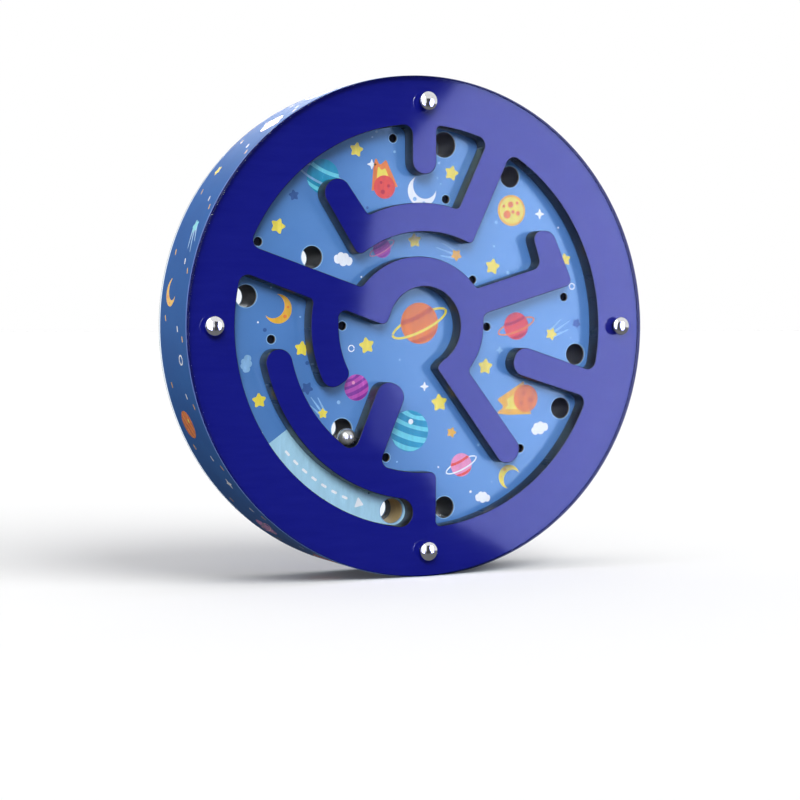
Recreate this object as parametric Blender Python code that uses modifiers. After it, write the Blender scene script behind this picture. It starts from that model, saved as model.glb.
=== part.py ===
"""Round two-sided ball maze: a stack of cut wooden layers between clear covers.

The maze stands on its rim. Its axis lies along Y, the front faces -Y and +Z is
up. The origin is under the disc's centre, on the rim's lowest flat. Every flat
layer is drawn as seen from its own side, in a plane whose x runs to the right
and y runs up, and is then stood up around the disc's axis.
"""
import math

import bmesh
import bpy
from mathutils import Vector

# Overall size, in metres
DISC_RADIUS = 0.090
RIM_SIDES = 60
RING_WIDTH = 0.0170

# Layers, from the covers inwards; touching layers keep a seat gap
COVER_THICKNESS = 0.0020
FRAME_THICKNESS = 0.0065
SHEET_THICKNESS = 0.0004
BOARD_THICKNESS = 0.0136
BAND_THICKNESS = 0.0006
SEAT_GAP = 0.0003
COVER_INSET = 0.0003
EDGE_CHAMFER = 0.00025

# Steel ball and the pocket it rests in
BALL_DIAMETER = 0.00635
BALL_GAP = 0.0003

# Holes through the board
TRAP_DIAMETER = 0.0080
START_DIAMETER = 0.0094
NEXT_DIAMETER = 0.0090
DIMPLE_DIAMETER = 0.0032
DIMPLE_DEPTH = 0.0022

# Rivets: a headed post from the front, a headed pin from the back
RIVET_COUNT = 4
RIVET_INSET = 0.0093
HEAD_DIAMETER = 0.0068
HEAD_HEIGHT = 0.0017
HEAD_RIM = 0.0004
POST_DIAMETER = 0.0036
PIN_DIAMETER = 0.0018
PIN_LENGTH = 0.0120
RIVET_CLEARANCE = 0.0003

# Roundings of the cut lanes
ROOT_ROUND = 0.0033
BEND_ROUND = 0.0018
NOSE_ROUND = 0.0026
TIP_ROUND = 0.0049
LEG_ROUND = 0.0034
LANE_END_ROUND = 0.0049
BACK_WALL_WIDTH = 0.0086

# How far a chord may stand off its curve, and the sides of small round features
CURVE_SAG = 0.00016
HOLE_SIDES = 18
DIMPLE_SIDES = 10
HEAD_SIDES = 16
HEAD_RINGS = 4
BALL_SEGMENTS = 20
BALL_RINGS = 10
SHARP_DEGREES = 30
CUT_OVERRUN = 0.0010
WELD_DISTANCE = 0.000005

# Sizes that follow from the ones above
INNER_RADIUS = DISC_RADIUS - BAND_THICKNESS - SEAT_GAP
LANE_RADIUS = DISC_RADIUS - BAND_THICKNESS - RING_WIDTH
COVER_RADIUS = DISC_RADIUS - COVER_INSET
RIVET_RADIUS = DISC_RADIUS - RIVET_INSET
RIVET_HOLE_DIAMETER = POST_DIAMETER + 2 * RIVET_CLEARANCE
PIN_BORE_DIAMETER = PIN_DIAMETER + 2 * RIVET_CLEARANCE
POCKET_ROUND = BALL_DIAMETER / 2 + BALL_GAP

BOARD_FACE = BOARD_THICKNESS / 2
SHEET_DEPTH = BOARD_FACE + SEAT_GAP + SHEET_THICKNESS / 2
FRAME_BACK = BOARD_FACE + 2 * SEAT_GAP + SHEET_THICKNESS
FRAME_DEPTH = FRAME_BACK + FRAME_THICKNESS / 2
FRAME_FACE = FRAME_BACK + FRAME_THICKNESS
COVER_DEPTH = FRAME_FACE + SEAT_GAP + COVER_THICKNESS / 2
COVER_FACE = FRAME_FACE + SEAT_GAP + COVER_THICKNESS
BAND_WIDTH = 2 * FRAME_FACE

# How an outline runs from one corner to the next
LINE = "line"
TURN = "turn"

# Shares of the lane radius that several corners use
RIM_SHARE = 1.0
LANE_SHARE = 0.863
ARC_WALL_SHARE = 0.7265
LEG_SHARE = 0.612
LEG_INNER_SHARE = 0.466
HUB_INNER_SHARE = 0.197

# The pocket where the ball rests, and the tip of the spur beside it
POCKET_SHARES = (ARC_WALL_SHARE, 238.0)
SPUR_TIP_SHARES = (0.347, 227.4)

# Front lanes: share of the lane radius, angle in degrees, rounding, and how the
# outline runs on to the next corner. TURN keeps turning about the centre, and a
# number is a bow: the height of an arc as a share of its chord.
FRONT_LANE_SHARES = (
    (RIM_SHARE, 94.0, ROOT_ROUND, TURN),
    (RIM_SHARE, 157.4, ROOT_ROUND, LINE),
    (0.393, 151.0, BEND_ROUND, 0.245),
    (0.346, 33.4, BEND_ROUND, LINE),
    (0.728, 24.6, LEG_ROUND, LINE),
    (0.775, 39.1, LEG_ROUND, LINE),
    (0.877, 33.9, TIP_ROUND, LINE),
    (0.877, 14.3, NOSE_ROUND, LINE),
    (0.336, 10.4, NOSE_ROUND, LINE),
    (0.328, -4.0, 0, TURN),
    (0.328, -33.0, 0, LINE),
    (0.331, -43.1, BEND_ROUND, LINE),
    (0.849, -48.8, TIP_ROUND, LINE),
    (0.851, -58.2, TIP_ROUND, LINE),
    (0.217, -72.9, BEND_ROUND, LINE),
    (HUB_INNER_SHARE, -60.0, 0, TURN),
    (HUB_INNER_SHARE, 163.0, 0, LINE),
    (0.213, 180.0, NOSE_ROUND, LINE),
    (0.475, 169.3, NOSE_ROUND, LINE),
    (LEG_INNER_SHARE, 178.5, 0, TURN),
    (LEG_INNER_SHARE, 212.0, LEG_ROUND, LINE),
    (LEG_SHARE, 212.0, TIP_ROUND, TURN),
    (LEG_SHARE, 168.0, BEND_ROUND, LINE),
    (RIM_SHARE, 165.2, ROOT_ROUND, TURN),
    (RIM_SHARE, 265.7, LANE_END_ROUND, LINE),
    (LANE_SHARE, 265.7, LANE_END_ROUND, TURN),
    (LANE_SHARE, 188.0, TIP_ROUND, LINE),
    (ARC_WALL_SHARE, 188.0, TIP_ROUND, TURN),
    (*POCKET_SHARES, POCKET_ROUND, LINE),
    (*SPUR_TIP_SHARES, TIP_ROUND, LINE),
    (0.329, 253.4, TIP_ROUND, LINE),
    (ARC_WALL_SHARE, 250.0, ROOT_ROUND, TURN),
    (ARC_WALL_SHARE, 274.9, NOSE_ROUND, LINE),
    (RIM_SHARE, 273.4, BEND_ROUND, TURN),
    (RIM_SHARE, 338.3, ROOT_ROUND, LINE),
    (0.534, 334.1, TIP_ROUND, LINE),
    (0.535, 349.8, TIP_ROUND, LINE),
    (RIM_SHARE, 346.4, ROOT_ROUND, TURN),
    (RIM_SHARE, 421.1, ROOT_ROUND, LINE),
    (0.485, 417.4, BEND_ROUND, -0.150),
    (0.492, 496.8, NOSE_ROUND, LINE),
    (0.875, 490.3, TIP_ROUND, LINE),
    (0.869, 481.4, TIP_ROUND, LINE),
    (0.624, 479.6, BEND_ROUND, 0.095),
    (0.613, 432.4, BEND_ROUND, LINE),
    (RIM_SHARE, 429.4, ROOT_ROUND, TURN),
    (RIM_SHARE, 446.4, BEND_ROUND, LINE),
    (0.757, 445.2, TIP_ROUND, LINE),
    (0.757, 455.2, TIP_ROUND, LINE),
)

# Back walls seen from the back, between the holes: each one's centre line from
# the ring inwards
BACK_WALL_SHARES = (
    ((RIM_SHARE, 20.0, LINE), (0.800, 20.0, LINE)),
    ((RIM_SHARE, 56.0, LINE), (0.660, 56.0, TURN), (0.660, 78.0, LINE)),
    ((RIM_SHARE, 108.0, LINE), (0.300, 108.0, TURN), (0.300, 232.0, LINE)),
    ((RIM_SHARE, 140.0, LINE), (0.600, 140.0, LINE)),
    ((RIM_SHARE, 168.0, LINE), (0.620, 168.0, LINE)),
    ((RIM_SHARE, 198.2, LINE), (0.560, 198.2, LINE)),
    ((RIM_SHARE, 224.0, LINE), (0.600, 224.0, LINE)),
    ((RIM_SHARE, 251.5, LINE), (0.800, 251.5, LINE)),
    ((RIM_SHARE, 268.2, LINE), (0.540, 268.2, LINE)),
    ((RIM_SHARE, 296.0, LINE), (0.800, 296.0, LINE)),
    ((RIM_SHARE, 324.0, LINE), (0.600, 328.0, LINE)),
    ((RIM_SHARE, 350.0, LINE), (0.480, 350.0, TURN), (0.480, 375.0, LINE)),
)

# Holes, as shares of the lane radius and angles seen from the front
TRAP_SHARES = (
    (0.931, 55.4),
    (0.661, 149.4),
    (0.922, 171.0),
    (0.654, 231.1),
    (0.927, 279.4),
    (0.931, 332.7),
    (0.929, 350.9),
)
START_SHARE = (0.927, 80.6)
NEXT_SHARE = (0.931, 261.2)
FRONT_DIMPLE_SHARES = (
    (0.862, 10.1),
    (0.392, 36.9),
    (0.660, 75.9),
    (0.944, 98.1),
    (0.941, 154.4),
    (0.408, 179.9),
    (0.784, 184.7),
    (0.676, 255.3),
    (0.863, 313.1),
    (0.395, 359.4),
)
# Shallow holes of the back, seen from the back
BACK_DIMPLE_SHARES = (
    (0.930, 37.0),
    (0.900, 72.0),
    (0.840, 88.0),
    (0.460, 130.0),
    (0.860, 154.0),
    (0.800, 211.0),
    (0.480, 262.0),
    (0.330, 310.0),
    (0.860, 335.0),
    (0.860, 360.0),
)

# Base colour, roughness, metallic
PAINTED_WOOD = ((0.013, 0.014, 0.200), 0.42, 0.0)
RAW_WOOD = ((0.420, 0.290, 0.130), 0.75, 0.0)
PRINTED_PAPER = ((0.130, 0.300, 0.620), 0.50, 0.0)
CLEAR_ACRYLIC = ((0.850, 0.920, 0.960), 0.05, 0.0)
BRIGHT_STEEL = ((0.750, 0.750, 0.760), 0.15, 1.0)


def polar(radius, degrees):
    """A point of the disc's plane from its radius and its angle."""
    angle = math.radians(degrees)
    return Vector((radius * math.cos(angle), radius * math.sin(angle)))


def arc_count(radius, angle):
    """How many chords an arc needs to stay within the sag."""
    widest = 2 * math.acos(1 - min(CURVE_SAG / radius, 1))
    return max(2, math.ceil(angle / widest))


def turn_points(start, end):
    """Points between two (radius, degrees) places, turning about the centre."""
    angle = math.radians(abs(end[1] - start[1]))
    count = arc_count(max(start[0], end[0]), angle)
    points = []
    for step in range(1, count):
        part = step / count
        radius = start[0] + (end[0] - start[0]) * part
        points.append(polar(radius, start[1] + (end[1] - start[1]) * part))
    return points


def bow_points(start, end, bow_share):
    """Points of the arc whose height is a share of its chord."""
    chord = end - start
    half_angle = 2 * math.atan(2 * abs(bow_share))
    radius = chord.length / (2 * math.sin(half_angle))
    side = Vector((-chord.y, chord.x)).normalized()
    if bow_share < 0:
        side = -side
    centre = start + chord / 2 - side * radius * math.cos(half_angle)
    count = arc_count(radius, 2 * half_angle)
    points = []
    for step in range(1, count):
        swing = half_angle * (2 * step / count - 1)
        along = chord.normalized() * math.sin(swing)
        points.append(centre + (along + side * math.cos(swing)) * radius)
    return points


def lane_path(rows):
    """The points of a closed outline with the rounding that each one gets."""
    path = []
    for index, (share, degrees, rounding, run) in enumerate(rows):
        next_share, next_degrees = rows[(index + 1) % len(rows)][:2]
        start = polar(share * LANE_RADIUS, degrees)
        end = polar(next_share * LANE_RADIUS, next_degrees)
        path.append((start, rounding))
        if run == TURN:
            between = turn_points((share * LANE_RADIUS, degrees),
                                  (next_share * LANE_RADIUS, next_degrees))
        elif run == LINE:
            between = []
        else:
            between = bow_points(start, end, run)
        path.extend((point, 0) for point in between)
    return path


def walk(points, index, direction, length):
    """The place reached from a corner by going a length along the outline."""
    place = points[index]
    while True:
        index = (index + direction) % len(points)
        span = (points[index] - place).length
        if span >= length:
            return place + (points[index] - place) * (length / span), index
        length -= span
        place = points[index]


def corner_trims(path):
    """How far each rounded corner reaches along its two sides."""
    points = [point for point, rounding in path]
    corners = [index for index, item in enumerate(path) if item[1] > 0]
    trims = {}
    for index in corners:
        before = (points[index] - points[index - 1]).normalized()
        after = (points[(index + 1) % len(points)] - points[index]).normalized()
        turn = before.angle(after)
        trims[index] = (path[index][1] * math.tan(turn / 2), turn)
    return trims


def free_length(points, start, end):
    """The length of the outline from one corner to another."""
    length = 0.0
    index = start
    while index != end:
        after = (index + 1) % len(points)
        length += (points[after] - points[index]).length
        index = after
    return length


def rounded(path):
    """The outline with each corner cut back and bridged by a circular arc."""
    points = [point for point, rounding in path]
    trims = corner_trims(path)
    corners = sorted(trims)
    reach = {}
    for order, index in enumerate(corners):
        before = corners[order - 1]
        after = corners[(order + 1) % len(corners)]
        reach[index] = min(
            trims[index][0],
            free_length(points, before, index) / 2,
            free_length(points, index, after) / 2,
        )
    outline = []
    removed = set()
    arcs = {}
    for index in corners:
        start, before = walk(points, index, -1, reach[index])
        end, after = walk(points, index, 1, reach[index])
        removed.update(between_indices(before, after, len(points)))
        arcs[index] = arc_across(start, points[index], end, trims[index][1])
    for index, point in enumerate(points):
        if index in arcs:
            outline.extend(arcs[index])
        elif index not in removed:
            outline.append(point)
    return without_doubles(outline)


def between_indices(before, after, count):
    """The indices strictly between two places of a closed outline."""
    found = []
    index = (before + 1) % count
    while index != after:
        found.append(index)
        index = (index + 1) % count
    return found


def arc_across(start, corner, end, turn):
    """A circular arc from start to end that is tangent to both sides."""
    radius = (corner - start).length / math.tan(turn / 2)
    count = arc_count(radius, turn)
    weight = math.cos(turn / 2)
    points = []
    for step in range(count + 1):
        part = step / count
        first = (1 - part) ** 2
        middle = 2 * weight * part * (1 - part)
        last = part ** 2
        mixed = start * first + corner * middle + end * last
        points.append(mixed / (first + middle + last))
    return points


def without_doubles(points):
    """The points with every one dropped that lies on the one before it."""
    kept = []
    for point in points:
        if not kept or (point - kept[-1]).length > EDGE_CHAMFER:
            kept.append(point)
    while (kept[0] - kept[-1]).length <= EDGE_CHAMFER:
        kept.pop()
    return kept


def wall_centre(rows):
    """The centre line of a wall, with marks on its bends."""
    line = []
    for index, (share, degrees, run) in enumerate(rows):
        place = (share * LANE_RADIUS, degrees)
        line.append((polar(*place), 0 < index < len(rows) - 1))
        if run == TURN:
            following = rows[index + 1]
            end = (following[0] * LANE_RADIUS, following[1])
            line.extend((point, False) for point in turn_points(place, end))
    return line


def wall_side(line, width, side_sign):
    """A wall's centre line moved sideways, from the ring to the wall's tip."""
    offset = side_sign * width / 2
    points = [point for point, bend in line]
    side = []
    for index, (point, bend) in enumerate(line):
        before = points[max(index - 1, 0)]
        after = points[min(index + 1, len(points) - 1)]
        normals = []
        for start, end in ((before, point), (point, after)):
            if start != end:
                along = (end - start).normalized()
                normals.append(Vector((-along.y, along.x)))
        mitre = sum(normals, Vector((0, 0))).normalized()
        stretch = offset / mitre.dot(normals[0])
        side.append((point + mitre * stretch, BEND_ROUND if bend else 0))
    root = side[0][0]
    along = (points[1] - points[0]).normalized()
    square = root.dot(along)
    reach = -square - math.sqrt(square ** 2 - root.length_squared + LANE_RADIUS ** 2)
    side[0] = (root + along * reach, ROOT_ROUND)
    side[-1] = (side[-1][0], width / 2)
    return side


def back_lane_path():
    """The back lanes: ring arcs broken by walls of one width."""
    walls = []
    for rows in BACK_WALL_SHARES:
        line = wall_centre(rows)
        near = wall_side(line, BACK_WALL_WIDTH, 1)
        far = wall_side(line, BACK_WALL_WIDTH, -1)
        walls.append(near + far[::-1])
    path = []
    for index, wall in enumerate(walls):
        path.extend(wall)
        leave = wall[-1][0]
        arrive = walls[(index + 1) % len(walls)][0][0]
        start = math.degrees(math.atan2(leave.y, leave.x))
        end = math.degrees(math.atan2(arrive.y, arrive.x))
        span = (end - start) % 360
        ring = turn_points((LANE_RADIUS, start), (LANE_RADIUS, start + span))
        path.extend((point, 0) for point in ring)
    return path


def round_outline(radius, sides, centre=(0, 0)):
    """A regular outline with a flat, not a corner, at its lowest place."""
    corner_radius = radius / math.cos(math.pi / sides)
    points = []
    for side in range(sides):
        point = polar(corner_radius, 360 * (side + 0.5) / sides)
        points.append(point + Vector(centre))
    return points


def hole_row(holes, diameter, sides, mirrored=False):
    """The outlines of equal holes from their shares and angles."""
    outlines = []
    for share, degrees in holes:
        centre = polar(share * LANE_RADIUS, 180 - degrees if mirrored else degrees)
        outlines.append(round_outline(diameter / 2, sides, centre))
    return outlines


def hole_outlines(mirrored, dimples):
    """The holes of a sheet: through holes, then its own shallow ones."""
    holes = hole_row(TRAP_SHARES, TRAP_DIAMETER, HOLE_SIDES, mirrored)
    holes += hole_row([START_SHARE], START_DIAMETER, HOLE_SIDES, mirrored)
    holes += hole_row([NEXT_SHARE], NEXT_DIAMETER, HOLE_SIDES, mirrored)
    return holes + hole_row(dimples, DIMPLE_DIAMETER, DIMPLE_SIDES)


def rivet_places():
    """The centres of the rivets in the disc's plane."""
    return [polar(RIVET_RADIUS, 360 * index / RIVET_COUNT)
            for index in range(RIVET_COUNT)]


def rivet_holes():
    """The rivet holes of a layer."""
    return [round_outline(RIVET_HOLE_DIAMETER / 2, DIMPLE_SIDES, place)
            for place in rivet_places()]


def signed_area(points):
    """The area inside an outline, positive when it runs anticlockwise."""
    total = 0.0
    for index, point in enumerate(points):
        total += points[index - 1].cross(point) / 2
    return total


def make_collection(name):
    collection = bpy.data.collections.new(name)
    bpy.context.scene.collection.children.link(collection)
    return collection


def make_material(name, look):
    colour, roughness, metallic = look
    material = bpy.data.materials.new(name)
    material.use_nodes = True
    shader = material.node_tree.nodes["Principled BSDF"]
    shader.inputs["Base Color"].default_value = (*colour, 1.0)
    shader.inputs["Roughness"].default_value = roughness
    shader.inputs["Metallic"].default_value = metallic
    material.diffuse_color = (*colour, 1.0)
    return material


def finish_mesh(mesh, name, look):
    mesh.materials.append(make_material(name, look))
    mesh.shade_smooth()
    mesh.set_sharp_from_angle(angle=math.radians(SHARP_DEGREES))


def plate(name, outer, holes, thickness, look, collection, chamfer=0.0):
    """A flat layer: a filled 2D curve with thickness, turned into a mesh."""
    curve = bpy.data.curves.new(name, "CURVE")
    curve.dimensions = "2D"
    curve.fill_mode = "BOTH"
    curve.extrude = thickness / 2 - chamfer
    curve.bevel_depth = chamfer
    curve.bevel_resolution = 0
    curve.offset = -chamfer
    for index, outline in enumerate([outer] + holes):
        clockwise = signed_area(outline) < 0
        points = outline if clockwise == (index == 0) else outline[::-1]
        spline = curve.splines.new("POLY")
        spline.points.add(len(points) - 1)
        for target, point in zip(spline.points, points):
            target.co = (point.x, point.y, 0.0, 1.0)
        spline.use_cyclic_u = True
    drawn = bpy.data.objects.new(name + "_outline", curve)
    bpy.context.scene.collection.objects.link(drawn)
    bpy.context.view_layer.update()
    evaluated = drawn.evaluated_get(bpy.context.evaluated_depsgraph_get())
    mesh = bpy.data.meshes.new_from_object(evaluated)
    bpy.data.objects.remove(drawn)
    weld(mesh)
    mesh.materials.clear()
    finish_mesh(mesh, name, look)
    piece = bpy.data.objects.new(name, mesh)
    collection.objects.link(piece)
    return piece


def weld(mesh):
    """Join the caps of a converted curve to its sides, facing outwards."""
    shape = bmesh.new()
    shape.from_mesh(mesh)
    bmesh.ops.remove_doubles(shape, verts=shape.verts, dist=WELD_DISTANCE)
    bmesh.ops.recalc_face_normals(shape, faces=shape.faces)
    shape.to_mesh(mesh)
    shape.free()


def turned(name, profile, sides, look, collection):
    """A turned piece: a profile of (radius, height) with a Screw modifier."""
    mesh = bpy.data.meshes.new(name)
    points = [(radius, 0.0, height) for radius, height in profile]
    edges = [(index, index + 1) for index in range(len(points) - 1)]
    mesh.from_pydata(points, edges, [])
    finish_mesh(mesh, name, look)
    piece = bpy.data.objects.new(name, mesh)
    collection.objects.link(piece)
    screw = piece.modifiers.new("turn", "SCREW")
    screw.axis = "Z"
    screw.steps = sides
    screw.render_steps = sides
    screw.use_merge_vertices = True
    screw.merge_threshold = WELD_DISTANCE
    screw.use_smooth_shade = True
    return piece


def hang(piece, axis, depth, seen_from_back=False, place=(0, 0)):
    """Stand a flat piece around the disc's axis at its depth from the board."""
    piece.parent = axis
    piece.location = (place[0], place[1], depth)
    if seen_from_back:
        piece.location = (-place[0], place[1], -depth)
        piece.rotation_euler = (0, math.pi, 0)


def head_profile():
    """A domed rivet head, from its crown down to its underside."""
    radius = HEAD_DIAMETER / 2
    rise = HEAD_HEIGHT - HEAD_RIM
    profile = []
    for step in range(HEAD_RINGS + 1):
        angle = math.radians(90) * step / HEAD_RINGS
        profile.append((radius * math.sin(angle), HEAD_RIM + rise * math.cos(angle)))
    profile.append((radius, 0.0))
    return profile


def make_post(name, collection):
    """A rivet's front half: a head on a post with a blind bore."""
    end = -2 * COVER_FACE - SEAT_GAP
    bore = PIN_BORE_DIAMETER / 2
    bore_top = end + PIN_LENGTH + RIVET_CLEARANCE
    profile = head_profile()
    profile += [(POST_DIAMETER / 2, 0.0), (POST_DIAMETER / 2, end), (bore, end)]
    profile += [(bore, bore_top), (0.0, bore_top)]
    return turned(name, profile, HEAD_SIDES, BRIGHT_STEEL, collection)


def make_pin(name, collection):
    """A rivet's back half: a head on a pin that enters the post's bore."""
    end = -PIN_LENGTH
    profile = head_profile()
    profile += [(PIN_DIAMETER / 2, 0.0), (PIN_DIAMETER / 2, end), (0.0, end)]
    return turned(name, profile, HEAD_SIDES, BRIGHT_STEEL, collection)


def make_covers(axis, collection):
    for name, from_back in (("front_cover", False), ("back_cover", True)):
        outer = round_outline(COVER_RADIUS, RIM_SIDES)
        cover = plate(name, outer, rivet_holes(), COVER_THICKNESS, CLEAR_ACRYLIC,
                      collection)
        hang(cover, axis, COVER_DEPTH, from_back)


def make_frames(axis, collection):
    lanes = (
        ("front_maze_frame", rounded(lane_path(FRONT_LANE_SHARES)), False),
        ("back_maze_frame", rounded(back_lane_path()), True),
    )
    for name, lane, from_back in lanes:
        outer = round_outline(INNER_RADIUS, RIM_SIDES)
        frame = plate(name, outer, [lane] + rivet_holes(), FRAME_THICKNESS,
                      PAINTED_WOOD, collection, EDGE_CHAMFER)
        hang(frame, axis, FRAME_DEPTH, from_back)


def make_sheets(axis, collection):
    sheets = (
        ("front_art_sheet", FRONT_DIMPLE_SHARES, False),
        ("back_art_sheet", BACK_DIMPLE_SHARES, True),
    )
    for name, dimples, from_back in sheets:
        outer = round_outline(INNER_RADIUS, RIM_SIDES)
        holes = hole_outlines(from_back, dimples) + rivet_holes()
        sheet = plate(name, outer, holes, SHEET_THICKNESS, PRINTED_PAPER, collection)
        hang(sheet, axis, SHEET_DEPTH, from_back)


def make_board(axis, collection, cutters):
    outer = round_outline(INNER_RADIUS, RIM_SIDES)
    holes = hole_outlines(False, ()) + rivet_holes()
    board = plate("maze_board", outer, holes, BOARD_THICKNESS, RAW_WOOD, collection)
    hang(board, axis, 0.0)
    dimples = [(place, 1) for place in FRONT_DIMPLE_SHARES]
    dimples += [((share, 180 - degrees), -1) for share, degrees in BACK_DIMPLE_SHARES]
    for index, ((share, degrees), side) in enumerate(dimples):
        centre = polar(share * LANE_RADIUS, degrees)
        depth = DIMPLE_DEPTH + CUT_OVERRUN
        middle = side * (BOARD_FACE + CUT_OVERRUN - depth / 2)
        cutter = round_cutter("dimple_cutter_%02d" % index, depth, cutters)
        cutter.parent = axis
        cutter.location = (centre.x, centre.y, middle)
    cut = board.modifiers.new("dimples", "BOOLEAN")
    cut.operand_type = "COLLECTION"
    cut.collection = cutters
    cut.operation = "DIFFERENCE"
    cut.solver = "EXACT"


def round_cutter(name, depth, cutters):
    shape = bmesh.new()
    bmesh.ops.create_cone(shape, cap_ends=True, segments=DIMPLE_SIDES,
                          radius1=DIMPLE_DIAMETER / 2, radius2=DIMPLE_DIAMETER / 2,
                          depth=depth)
    mesh = bpy.data.meshes.new(name)
    shape.to_mesh(mesh)
    shape.free()
    cutter = bpy.data.objects.new(name, mesh)
    cutter.display_type = "WIRE"
    cutter.hide_render = True
    cutters.objects.link(cutter)
    return cutter


def make_band(axis, collection):
    outer = round_outline(DISC_RADIUS, RIM_SIDES)
    inner = round_outline(DISC_RADIUS - BAND_THICKNESS, RIM_SIDES)
    band = plate("edge_band", outer, [inner], BAND_WIDTH, PRINTED_PAPER, collection)
    hang(band, axis, 0.0)


def make_rivets(axis, collection):
    for index, place in enumerate(rivet_places()):
        post = make_post("rivet_post_%d" % (index + 1), collection)
        hang(post, axis, COVER_FACE + SEAT_GAP, False, place)
        pin = make_pin("rivet_pin_%d" % (index + 1), collection)
        mirrored = (-place.x, place.y)
        hang(pin, axis, COVER_FACE + SEAT_GAP, True, mirrored)


def ball_place():
    """The ball's centre in its pocket, touching the arc wall and the spur."""
    corner = polar(POCKET_SHARES[0] * LANE_RADIUS, POCKET_SHARES[1])
    tip = polar(SPUR_TIP_SHARES[0] * LANE_RADIUS, SPUR_TIP_SHARES[1])
    along = (tip - corner).normalized()
    inward = Vector((-along.y, along.x))
    start = corner + inward * POCKET_ROUND
    radius = POCKET_SHARES[0] * LANE_RADIUS - POCKET_ROUND
    square = start.dot(along)
    reach = -square - math.sqrt(square ** 2 - start.length_squared + radius ** 2)
    return start + along * reach


def make_ball(axis, collection):
    swing = bpy.data.objects.new("ball_swing", None)
    collection.objects.link(swing)
    swing.parent = axis
    swing.location = (0, 0, FRAME_DEPTH)
    shape = bmesh.new()
    bmesh.ops.create_uvsphere(shape, u_segments=BALL_SEGMENTS,
                              v_segments=BALL_RINGS, radius=BALL_DIAMETER / 2)
    mesh = bpy.data.meshes.new("steel_ball")
    shape.to_mesh(mesh)
    shape.free()
    finish_mesh(mesh, "steel_ball", BRIGHT_STEEL)
    ball = bpy.data.objects.new("steel_ball", mesh)
    collection.objects.link(ball)
    ball.parent = swing
    place = ball_place()
    ball.location = (place.x, place.y, 0)


def clear_scene():
    for item in list(bpy.data.objects):
        bpy.data.objects.remove(item, do_unlink=True)


def main():
    clear_scene()
    parts = make_collection("ball_maze_puzzle")
    cutters = make_collection("cutters")
    axis = bpy.data.objects.new("disc_axis", None)
    parts.objects.link(axis)
    axis.location = (0, 0, DISC_RADIUS)
    axis.rotation_euler = (math.pi / 2, 0, 0)
    make_covers(axis, parts)
    make_frames(axis, parts)
    make_sheets(axis, parts)
    make_board(axis, parts, cutters)
    make_band(axis, parts)
    make_rivets(axis, parts)
    make_ball(axis, parts)
    bpy.context.view_layer.update()


main()
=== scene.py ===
"""Looks of the round two-sided ball maze: paint, print, clear covers and light.

Everything is in metres in the model's own frame: the front faces -Y, +Z is up
and the maze stands on its rim at the origin. Flat layers are drawn in a plane
whose x runs to the right and y runs up, as seen from their own side, and depth
counts from the middle of the board towards that side.
"""

import math
import random
from collections import defaultdict

import bmesh
import bpy
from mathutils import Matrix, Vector
from mathutils.geometry import tessellate_polygon


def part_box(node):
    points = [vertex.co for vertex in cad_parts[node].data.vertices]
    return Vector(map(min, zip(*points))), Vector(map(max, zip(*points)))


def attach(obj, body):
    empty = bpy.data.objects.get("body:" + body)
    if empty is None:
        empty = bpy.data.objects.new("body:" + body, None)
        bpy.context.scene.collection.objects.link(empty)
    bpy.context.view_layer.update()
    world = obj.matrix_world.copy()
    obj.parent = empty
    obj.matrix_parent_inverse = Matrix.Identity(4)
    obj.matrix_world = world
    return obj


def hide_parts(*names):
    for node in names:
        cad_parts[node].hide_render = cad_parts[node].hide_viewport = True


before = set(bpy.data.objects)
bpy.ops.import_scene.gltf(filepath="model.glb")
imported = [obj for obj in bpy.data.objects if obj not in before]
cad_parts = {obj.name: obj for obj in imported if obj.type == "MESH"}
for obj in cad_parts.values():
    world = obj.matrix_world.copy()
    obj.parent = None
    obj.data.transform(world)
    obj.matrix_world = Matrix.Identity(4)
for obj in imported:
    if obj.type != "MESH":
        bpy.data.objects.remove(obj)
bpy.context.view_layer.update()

CASE = "case"
BALL = "ball"
FRONT = 1
BACK = -1
MM = 0.001

# Places read from the model
COVER_LOW, COVER_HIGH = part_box("front_cover")
BAND_LOW, BAND_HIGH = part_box("edge_band")
SHEET_LOW, SHEET_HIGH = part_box("front_art_sheet")
FRAME_LOW, FRAME_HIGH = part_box("front_maze_frame")
POST_LOW, POST_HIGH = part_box("rivet_post_1")
BALL_LOW, BALL_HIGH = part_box("steel_ball")
DISC_RADIUS = (BAND_HIGH.z - BAND_LOW.z) / 2
CENTRE_HEIGHT = (BAND_HIGH.z + BAND_LOW.z) / 2
COVER_RADIUS = (COVER_HIGH.z - COVER_LOW.z) / 2
COVER_FACE = -COVER_LOW.y
FRAME_FACE = -FRAME_LOW.y
FRAME_BACK = -FRAME_HIGH.y
SHEET_FACE = -SHEET_LOW.y
SHEET_BACK = -SHEET_HIGH.y
BOARD_FACE = -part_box("maze_board")[0].y
BAND_EDGE = -BAND_LOW.y
HEAD_RADIUS = (POST_HIGH.z - POST_LOW.z) / 2
HEAD_TOP = -POST_LOW.y
POST_END = -POST_HIGH.y
PIN_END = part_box("rivet_pin_1")[0].y
RIVET_RADIUS = (POST_HIGH.x + POST_LOW.x) / 2
BALL_RADIUS = (BALL_HIGH.z - BALL_LOW.z) / 2
BALL_CENTRE = (BALL_LOW + BALL_HIGH) / 2

# The covers lie on the frames, and the printed wrap is thin paper, so that the wood
# reaches almost to the rim
COVER_LIFT = 0.02 * MM
WRAP_THICKNESS = 0.18 * MM
WRAP_GAP = 0.05 * MM
LAYER_RADIUS = DISC_RADIUS - WRAP_THICKNESS - WRAP_GAP

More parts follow.
